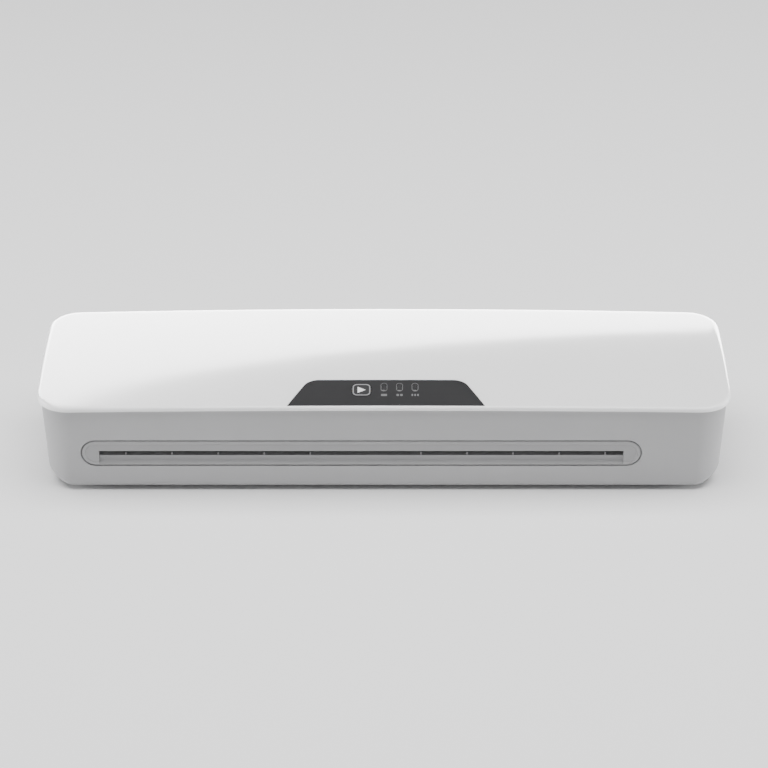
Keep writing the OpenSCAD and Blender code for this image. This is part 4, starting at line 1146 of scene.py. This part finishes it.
def build_camera():
    data = bpy.data.cameras.new("camera")
    data.lens = CAMERA_LENS
    data.sensor_width = 36
    camera = bpy.data.objects.new("camera", data)
    SCENE.collection.objects.link(camera)
    back = Vector((0, -math.cos(CAMERA_PITCH), math.sin(CAMERA_PITCH)))
    camera.location = AIM + back * CAMERA_DISTANCE
    camera.rotation_mode = "QUATERNION"
    camera.rotation_quaternion = (-back).to_track_quat("-Z", "Y")
    SCENE.camera = camera
    return camera


def area_light(name, at, toward, size, energy, spin=0.0, colour=(1, 1, 1)):
    data = bpy.data.lights.new(name, "AREA")
    data.shape = "RECTANGLE"
    data.size, data.size_y = size
    data.energy = energy
    data.color = colour
    lamp = bpy.data.objects.new(name, data)
    lamp.location = at
    lamp.rotation_mode = "QUATERNION"
    aim = (Vector(toward) - Vector(at)).to_track_quat("-Z", "Y")
    lamp.rotation_quaternion = aim @ Matrix.Rotation(spin, 3, "Z").to_quaternion()
    lamp.visible_camera = False
    SCENE.collection.objects.link(lamp)
    return lamp


# Two points of the cover, in plan, between which the edge of the rear card is mirrored.
CARD_EDGE = ((-0.172, -0.0415), (0.159, 0.0235))
CARD_Y = 1.6
CARD_SIZE = (4.0, 1.6)


def rear_card(camera, name, receiver, radiance):
    """A white card behind the machine whose upper edge shows as a diagonal in one glossy piece."""
    hits = []
    for x, y in CARD_EDGE:
        point = Vector((x, y, top_z(x, y)))
        ray = (point - camera.location).normalized()
        away = ray.reflect(top_normal(x, y))
        hits.append(point + away * ((CARD_Y - point.y) / away.y))
    run = (hits[1] - hits[0]).normalized()
    up = run.cross(Vector((0, 1, 0))).normalized()
    if up.z < 0:
        up = -up
    middle = (hits[0] + hits[1]) / 2 - up * CARD_SIZE[1] / 2
    data = bpy.data.lights.new(name, "AREA")
    data.shape = "RECTANGLE"
    data.size, data.size_y = CARD_SIZE
    data.energy = radiance * 4 * CARD_SIZE[0] * CARD_SIZE[1]
    lamp = bpy.data.objects.new(name, data)
    axes = Matrix((up.cross(Vector((0, 1, 0))), up, Vector((0, 1, 0)))).transposed()
    lamp.matrix_world = Matrix.Translation(middle) @ axes.to_4x4()
    lamp.visible_camera = False
    lamp.visible_diffuse = False
    SCENE.collection.objects.link(lamp)
    lit = bpy.data.collections.new(name + "_receiver")
    lit.objects.link(bpy.data.objects[receiver])
    lamp.light_linking.receiver_collection = lit


def build_floor():
    size = 6.0
    bm = bmesh.new()
    bmesh.ops.create_grid(bm, x_segments=1, y_segments=1, size=size)
    n = Nodes("floor_paper", (0.86, 0.86, 0.86))
    fibre = n.noise(0.9 * MM, 4)
    n.feed(n.shader.inputs["Base Color"], n.mix(n.span(fibre, 0, 1), (0.84, 0.84, 0.845, 1),
                                                (0.86, 0.86, 0.86, 1)))
    n.feed(n.shader.inputs["Roughness"], 0.85)
    n.feed(n.shader.inputs["Normal"], n.bump(fibre, 0.02 * MM))
    floor = finish_piece("floor", bm, n.mat, body=None)
    floor.modifiers.clear()


def build_studio():
    camera = build_camera()
    build_floor()
    rear_card(camera, "cover_card", "cover_shell", 20)
    rear_card(camera, "panel_card", "control_fascia", 0.25)
    area_light("overhead", (0, -0.1, 1.7), (0, 0, 0), (2.6, 1.6), 78)
    area_light("front_fill", (0, -2.2, 0.9), (0, 0, 0.03), (2.6, 1.2), 4)
    for sign in (-1, 1):
        area_light(f"side_{sign}", (sign * 1.6, 0.12, 0.22), (0, 0, 0.04), (0.7, 0.4), 16)
    world = bpy.data.worlds.new("studio")
    world.use_nodes = True
    world.node_tree.nodes["Background"].inputs["Color"].default_value = (1, 1, 1, 1)
    world.node_tree.nodes["Background"].inputs["Strength"].default_value = 0.18
    SCENE.world = world


# ---------------------------------------------------------------- the model

dress_frame()
build_cover()
build_housing()
build_posts()
build_mouths()
build_panel()
build_button()
build_lenses()
build_feet()
build_screws()
build_gland()
build_springs()
build_studio()
